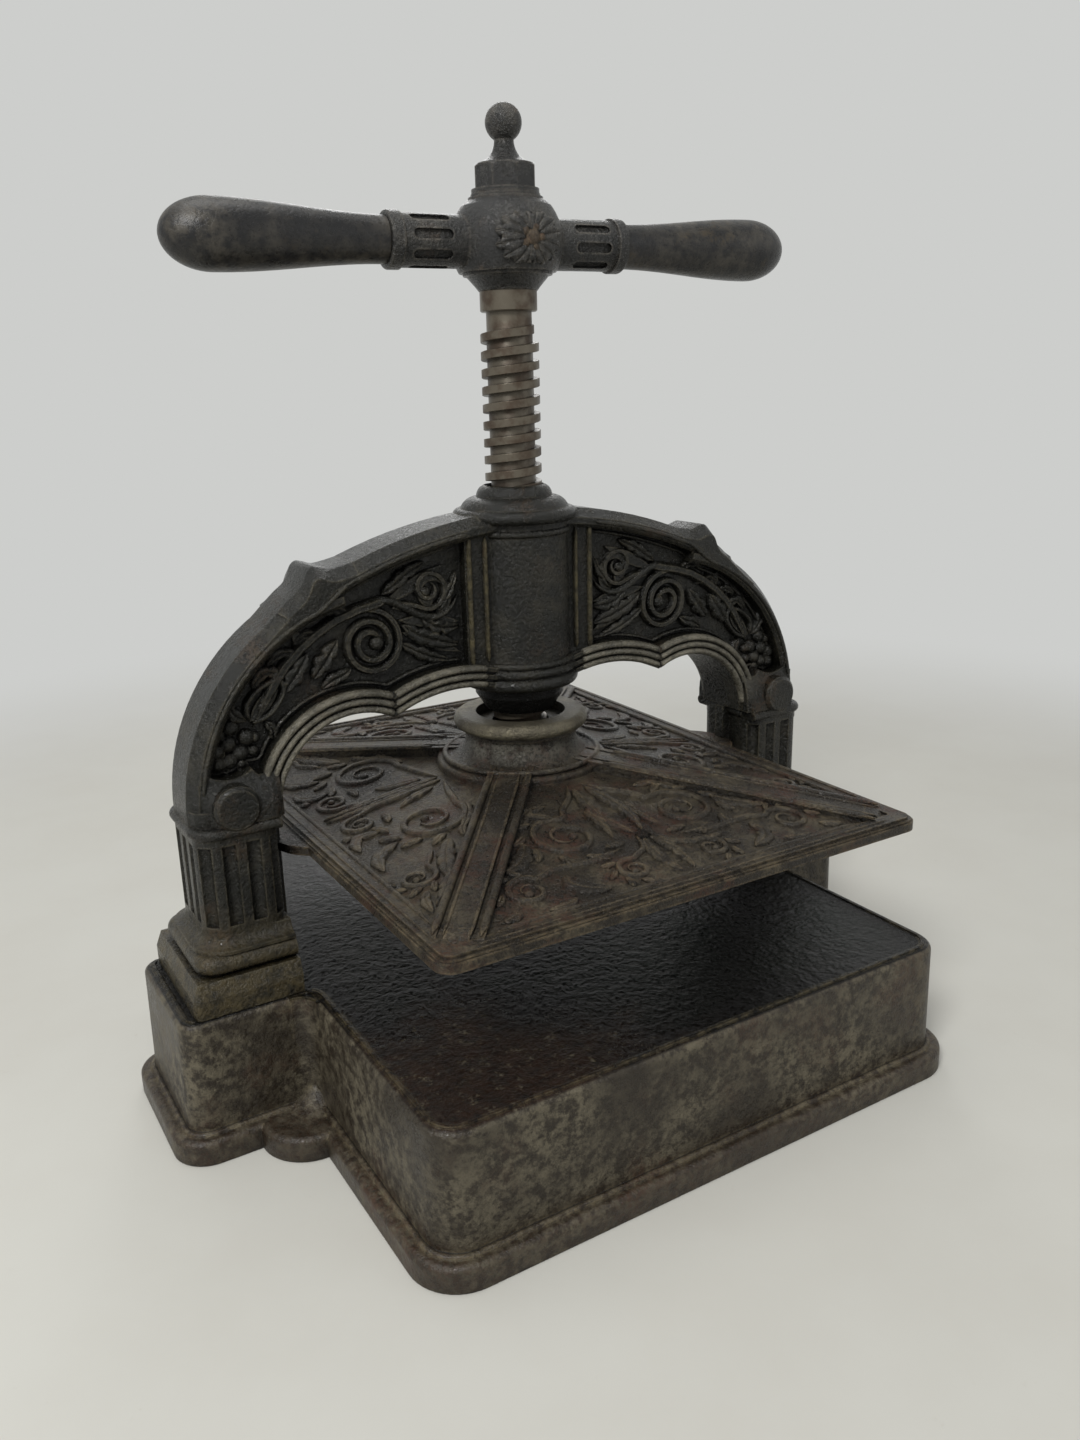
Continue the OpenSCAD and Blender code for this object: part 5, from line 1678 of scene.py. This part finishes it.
@dataclass
class Lever:
    """Two-handed lever with turned grips and a leaf rosette on the front and back of its hub. Millimetres.

    The fan gives the angle, in degrees, and the length of each leaf in a quarter of a rosette. A berry has a
    radius and a height.
    """

    bulb_r: float = 31.0
    axis_z: float = 466.5
    rosette_sink: float = 0.6
    fan: tuple[Point, ...] = ((11.0, 20.0), (32.0, 18.5), (55.0, 15.5), (80.0, 12.5))
    fan_shares: tuple[float, ...] = (0.16, 0.5, 0.8, 1.0)
    fan_bend: Point = (1.16, 0.22)
    leaf_size: Point = (8.4, 2.8)
    leaf_lobes: int = 3
    button: Point = (4.6, 3.6)
    button_ring: int = 5
    button_ring_r: float = 5.0
    button_bead: Point = (2.6, 3.0)
    reach: float = 185.5
    socket_end: float = 71.0
    tang_r: float = 8.5
    tang_length: float = 32.0
    neck_r: float = 12.0
    swell_r: float = 17.4
    end_length: float = 25.0
    waist_steps: int = 18
    end_steps: int = 14
    turned_steps: int = 48

    def on_bulb(self, face: Face) -> Place:
        """Where a point of a rosette's drawing lies on the round hub.

        Args:
            face: Front or back.

        Returns:
            The function that places a point.
        """
        turn = Matrix.Rotation(math.radians(LEVER_DEG), 3, "Z")
        out = turn @ Vector((0, face.value, 0))
        side = turn @ Vector((-face.value, 0, 0))
        middle = Vector((0, 0, self.axis_z))

        def place(u: float, v: float, h: float) -> Vector:
            """Wraps a point of the drawing round the hub.

            Args:
                u: Distance to the right of the rosette's middle.
                v: Distance above it.
                h: Height over the hub's surface.

            Returns:
                The point, in metres.
            """
            lon, lat = u / self.bulb_r, v / self.bulb_r
            level = out * math.cos(lon) + side * math.sin(lon)
            way = level * math.cos(lat) + Vector((0, 0, math.sin(lat)))
            return (middle + way * (self.bulb_r + h)) * MM

        return place

    def fan_leaf(self, angle: float, length: float, side: int, rise: int) -> Leaf:
        """Drawing of one leaf of a rosette.

        Args:
            angle: Angle of the leaf from level, in degrees.
            length: Length of the leaf.
            side: 1 for the right of the rosette, -1 for the left.
            rise: 1 for its upper half, -1 for the lower.

        Returns:
            The leaf.
        """
        whole, drop = self.fan_bend
        points: list[Point] = []
        for share in self.fan_shares:
            a = math.radians(angle * (whole - drop * share))
            points.append((side * length * share * math.cos(a), rise * length * share * math.sin(a)))
        return Leaf(tuple(points), *self.leaf_size, self.leaf_lobes)

    def rosette(self, face: Face, iron: Material, brown: Material) -> None:
        """Lays the fanned leaves and the button of one rosette.

        Args:
            face: Front or back.
            iron: Finish of the leaves.
            brown: Finish of the button.
        """
        art = Relief(f"hub_rosette_{face.name.lower()}", self.on_bulb(face), self.rosette_sink)
        for side in (1, -1):
            for rise in (1, -1):
                for angle, length in self.fan:
                    art.leaf(self.fan_leaf(angle, length, side, rise))
        art.build(Body.SPINDLE, Slot.LEVER, iron)
        button = Relief(f"hub_button_{face.name.lower()}", self.on_bulb(face), self.rosette_sink)
        button.berry((0, 0), *self.button)
        for middle in full_turn(self.button_ring_r, self.button_ring):
            button.berry(middle, *self.button_bead)
        button.build(Body.SPINDLE, Slot.LEVER, brown)

    def grip_outline(self) -> list[Point]:
        """Half outline of a turned grip, from its tang to the tip.

        Returns:
            Pairs of the distance from the screw's axis and the radius there.
        """
        swell_at = self.reach - self.end_length
        outline = [(self.socket_end - self.tang_length, self.tang_r), (self.socket_end, self.tang_r)]
        for i in range(self.waist_steps):
            share = i / self.waist_steps
            swell = 0.5 - 0.5 * math.cos(math.pi * share)
            outline.append((self.socket_end + (swell_at - self.socket_end) * share,
                            self.neck_r + (self.swell_r - self.neck_r) * swell))
        for i in range(self.end_steps):
            a = math.pi / 2 * i / self.end_steps
            outline.append((swell_at + self.end_length * math.sin(a), self.swell_r * math.cos(a)))
        return outline

    def grip(self, hand: Hand, finish: Material) -> None:
        """Turns one grip, which stands for its plainer solid.

        Args:
            hand: Side of the lever.
            finish: Finish of the grip.
        """
        side = hand.name.lower()
        half_turn = 0.0 if hand is Hand.RIGHT else 180.0
        turn = Matrix.Rotation(math.radians(LEVER_DEG + half_turn), 3, "Z")
        middle = Vector((0, 0, self.axis_z))
        rows = [[(turn @ Vector((x, y, z)) + middle) * MM for y, z in full_turn(r, self.turned_steps)]
                for x, r in self.grip_outline()]
        shell = Shell()
        shell.dome(rows, (turn @ Vector((self.reach, 0, 0)) + middle) * MM)
        piece = shell.piece(f"turned_grip_{side}", finish)
        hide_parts(f"{side}_grip")
        seat(piece, Body.SPINDLE)

    def build(self, iron: Material, rosette: Material, grip: Material, steel: Material) -> None:
        """Dresses the lever's solids, turns its grips and lays its rosettes.

        Args:
            iron: Finish of the hub, washer and finial nut.
            rosette: Finish of the rosettes' buttons.
            grip: Finish of the grips.
            steel: Finish of the pins.
        """
        for node in ("lever_hub", "lever_washer", "finial_nut"):
            dress(node, iron)
        for hand in Hand:
            self.grip(hand, grip)
        dress("grip_pins", steel)
        for face in Face:
            self.rosette(face, iron, rosette)


@dataclass(frozen=True)
class Lamp:
    """Round soft lamp: its place and size in metres, its power in watts."""

    name: str
    where: Triple
    size: float
    power: float


@dataclass
class Studio:
    """Pale floor, soft lights and the camera at the photograph's angle. Metres and radians.

    The long side is that of the photograph, and the focal length is counted in its pixels. The floor turns
    into the backdrop between two distances from the press.
    """

    eye: Triple = (-0.33927, -0.584, 0.39658)
    yaw: float = 0.544
    pitch: float = 0.293
    roll: float = 0.024
    focal_px: float = 1140.84
    long_side_px: int = 1440
    sensor_mm: float = 36.0
    clip: Point = (0.01, 50.0)
    floor_half: float = 12.0
    floor_z: float = -0.0004
    floor_tone: Colour = srgb(208, 207, 199)
    scuff_tone: Colour = srgb(186, 180, 168)
    wall_tone: Colour = srgb(205, 206, 204)
    wall_from: Point = (0.55, 1.2)
    floor_rough: float = 0.6
    stain_mm: float = 180.0
    stain_cover: float = 0.22
    mark_mm: float = 14.0
    scuff_mm: float = 120.0
    scuff_cover: float = 0.3
    ambient: float = 0.2
    aim: Triple = (0.0, 0.0, 0.2)
    lamps: tuple[Lamp, ...] = (
        Lamp("key", (-1.4, -1.1, 1.8), 0.8, 40.0),
        Lamp("fill", (1.5, -1.6, 1.2), 1.6, 3.5),
        Lamp("top", (-0.2, 0.2, 2.2), 1.4, 12.5),
        Lamp("rim", (0.9, 1.8, 1.3), 1.0, 7.0),
    )

    def camera(self) -> None:
        """Sets up the camera."""
        out, turned, tilted = math.cos(self.pitch), math.cos(self.roll), math.sin(self.roll)
        ahead = Vector((math.sin(self.yaw) * out, math.cos(self.yaw) * out, -math.sin(self.pitch)))
        level = Vector((math.cos(self.yaw), -math.sin(self.yaw), 0.0))
        plumb = ahead.cross(level)
        right, down = level * turned + plumb * tilted, plumb * turned - level * tilted
        data = bpy.data.cameras.new("camera")
        data.sensor_width = self.sensor_mm
        data.lens = self.focal_px * self.sensor_mm / self.long_side_px
        data.clip_start, data.clip_end = self.clip
        eye = bpy.data.objects.new("camera", data)
        eye.matrix_world = Matrix.Translation(self.eye) @ Matrix((right, -down, -ahead)).transposed().to_4x4()
        bpy.context.scene.collection.objects.link(eye)
        bpy.context.scene.camera = eye

    def floor(self) -> None:
        """Lays the floor, which turns into the pale backdrop far from the press."""
        g = Graph("studio_floor")
        stain = g.share(g.noise(self.stain_mm, seed=31.0), part=0.4, soft=0.2)
        marks = g.share(g.noise(self.mark_mm, seed=32.0, detail=9.0, fine=0.75), part=0.12, soft=0.04)
        scuff = g.times(marks, g.share(g.noise(self.scuff_mm, seed=33.0), part=0.5))
        tone = g.mix(g.times(stain, self.stain_cover), self.floor_tone, self.scuff_tone)
        tone = g.mix(g.times(scuff, self.scuff_cover), tone, self.scuff_tone)
        g.set(Base_Color=tone, Roughness=self.floor_rough)
        far = g.add("ShaderNodeEmission")
        g.link(self.wall_tone, far.inputs["Color"])
        blend = g.add("ShaderNodeMixShader")
        span = g.add("ShaderNodeVectorMath")
        span.operation = "LENGTH"
        g.link(g.place, span.inputs[0])
        g.link(g.level(span.outputs["Value"], *self.wall_from), blend.inputs[0])
        g.link(g.shader.outputs["BSDF"], blend.inputs[1])
        g.link(far.outputs[0], blend.inputs[2])
        g.link(blend.outputs[0], g.output.inputs["Surface"])
        half = self.floor_half
        corners = ((-half, -half), (half, -half), (half, half), (-half, half))
        sheet = Shell([Vector((x, y, self.floor_z)) for x, y in corners], [[0, 1, 2, 3]])
        sheet.piece("studio_floor", g.material)

    def lights(self) -> None:
        """Hangs the lamps."""
        for lamp in self.lamps:
            data = bpy.data.lights.new(lamp.name, "AREA")
            data.shape, data.size, data.energy = "DISK", lamp.size, lamp.power
            light = bpy.data.objects.new(lamp.name, data)
            light.location = lamp.where
            light.rotation_mode = "QUATERNION"
            light.rotation_quaternion = (Vector(self.aim) - Vector(lamp.where)).to_track_quat("-Z", "Y")
            bpy.context.scene.collection.objects.link(light)

    def surroundings(self) -> None:
        """Sets the even light from all round, and the backdrop that is seen directly and in reflections."""
        world = bpy.data.worlds.new("studio")
        world.use_nodes = True
        tree = world.node_tree
        seen = tree.nodes["Background"]
        seen.inputs["Color"].default_value = (*self.wall_tone, 1.0)
        light = tree.nodes.new("ShaderNodeBackground")
        light.inputs["Color"].default_value = (1.0, 1.0, 1.0, 1.0)
        light.inputs["Strength"].default_value = self.ambient
        path = tree.nodes.new("ShaderNodeLightPath")
        shown = path.outputs["Is Camera Ray"]
        for other in ("Is Glossy Ray", "Is Transmission Ray"):
            either = tree.nodes.new("ShaderNodeMath")
            either.operation = "MAXIMUM"
            tree.links.new(shown, either.inputs[0])
            tree.links.new(path.outputs[other], either.inputs[1])
            shown = either.outputs[0]
        blend = tree.nodes.new("ShaderNodeMixShader")
        tree.links.new(shown, blend.inputs[0])
        tree.links.new(light.outputs[0], blend.inputs[1])
        tree.links.new(seen.outputs[0], blend.inputs[2])
        tree.links.new(blend.outputs[0], tree.nodes["World Output"].inputs["Surface"])
        bpy.context.scene.world = world

    def build(self) -> None:
        """Sets up the whole studio."""
        bpy.context.scene.view_settings.view_transform = "Standard"
        self.camera()
        self.floor()
        self.lights()
        self.surroundings()


ARCH_IRON = IronFinish(
    "arch_iron", skin=srgb(25, 25, 21), bloom=srgb(54, 51, 42), rust=srgb(58, 45, 32), worn=srgb(88, 82, 66),
    bloom_part=0.34, rust_part=0.2, sheen=0.34, pitted=0.45, smooth=0.14, rough=0.36, tint_mm=(135.0, 92.0))
# Reeds: a lighter copy of the arch's iron. Its lighter skin, bloom and wear are painted light for the light
# that the reeds catch.
LIT_REED_IRON = IronFinish(
    "lit_reed_iron", skin=srgb(76, 73, 63), bloom=srgb(124, 119, 104), rust=srgb(78, 66, 50),
    worn=srgb(150, 142, 122), bloom_part=0.5, rust_part=0.1, patch_mm=30.0, sheen=0.5, smooth=0.18)
OCHRE_IRON = IronFinish(
    "ochre_iron", skin=srgb(48, 44, 32), bloom=srgb(84, 77, 54), rust=srgb(66, 52, 34),
    worn=srgb(112, 103, 74), bloom_part=0.5, rust_part=0.2, patch_mm=24.0)
PLATEN_IRON = IronFinish(
    "platen_iron", skin=srgb(37, 32, 25), bloom=srgb(86, 78, 62), rust=srgb(62, 38, 27),
    worn=srgb(118, 104, 80), bloom_part=0.42, rust_part=0.36, patch_mm=30.0, pitted=0.7,
    tint=srgb(104, 102, 92), tint_mm=(172.0, 184.0))
LEVER_IRON = IronFinish(
    "lever_iron", skin=srgb(36, 36, 35), bloom=srgb(78, 75, 69), rust=srgb(76, 62, 48),
    worn=srgb(114, 108, 98), bloom_part=0.42, rust_part=0.1, patch_mm=30.0, sheen=0.4, smooth=0.18,
    rough=0.36)
ROSETTE_IRON = IronFinish(
    "rosette_iron", skin=srgb(62, 52, 42), bloom=srgb(98, 86, 70), rust=srgb(84, 58, 42),
    worn=srgb(126, 112, 92), bloom_part=0.4, rust_part=0.3, patch_mm=18.0)
GRIP_IRON = IronFinish(
    "grip_iron", skin=srgb(27, 27, 28), bloom=srgb(70, 66, 59), rust=srgb(74, 63, 44), worn=srgb(84, 80, 72),
    bloom_part=0.5, rust_part=0.2, patch_mm=34.0, pit_depth_mm=0.08, grain_depth_mm=0.04, smooth=0.24,
    rough=0.4, sheen=0.4)
COLLAR_IRON = IronFinish(
    "collar_iron", skin=srgb(92, 87, 74), bloom=srgb(134, 127, 107), rust=srgb(66, 54, 40),
    worn=srgb(160, 152, 132), bloom_part=0.45, rust_part=0.18, patch_mm=26.0, smooth=0.32, rough=0.46,
    metallic=0.5)
# Nut: near black, darker than the rest of the iron. This is painted shade for the shade that the boss casts
# over the nut.
SHADED_NUT_IRON = IronFinish(
    "nut_iron", skin=srgb(13, 13, 12), bloom=srgb(20, 19, 17), rust=srgb(30, 24, 19), worn=srgb(38, 35, 30),
    patch_mm=26.0, sheen=0.2)
SCREW_STEEL = SteelFinish(
    "screw_steel", colour=srgb(100, 93, 81), stain=srgb(68, 54, 42), stain_part=0.45, smooth=0.28, rough=0.5,
    metallic=0.5)
DULL_STEEL = SteelFinish("dull_steel", colour=srgb(104, 98, 90), stain=srgb(70, 58, 48))
PAD_BRONZE = SteelFinish("pad_bronze", colour=srgb(168, 132, 82), stain=srgb(104, 82, 56))


def main() -> None:
    """Dresses the press and sets up its studio."""
    logging.basicConfig(level=logging.INFO, format="%(message)s")
    steel, bronze = DULL_STEEL.material(), PAD_BRONZE.material()
    dress("base_casting", BedFinish().material())
    for node in ("frame_bolts", "frame_washers", "nut_dowels"):
        dress(node, steel)
    # The nut's near-black finish is painted shade.
    dress("screw_nut", SHADED_NUT_IRON.material())
    ArchCasting().build(ARCH_IRON.material(), OCHRE_IRON.material(), LIT_REED_IRON.material())
    PlatenCasting().build(PLATEN_IRON.material(), COLLAR_IRON.material(), steel, bronze)
    ScrewSpindle().build(SCREW_STEEL.material())
    Lever().build(LEVER_IRON.material(), ROSETTE_IRON.material(), GRIP_IRON.material(), steel)
    Studio().build()


if __name__ == "__main__":
    main()
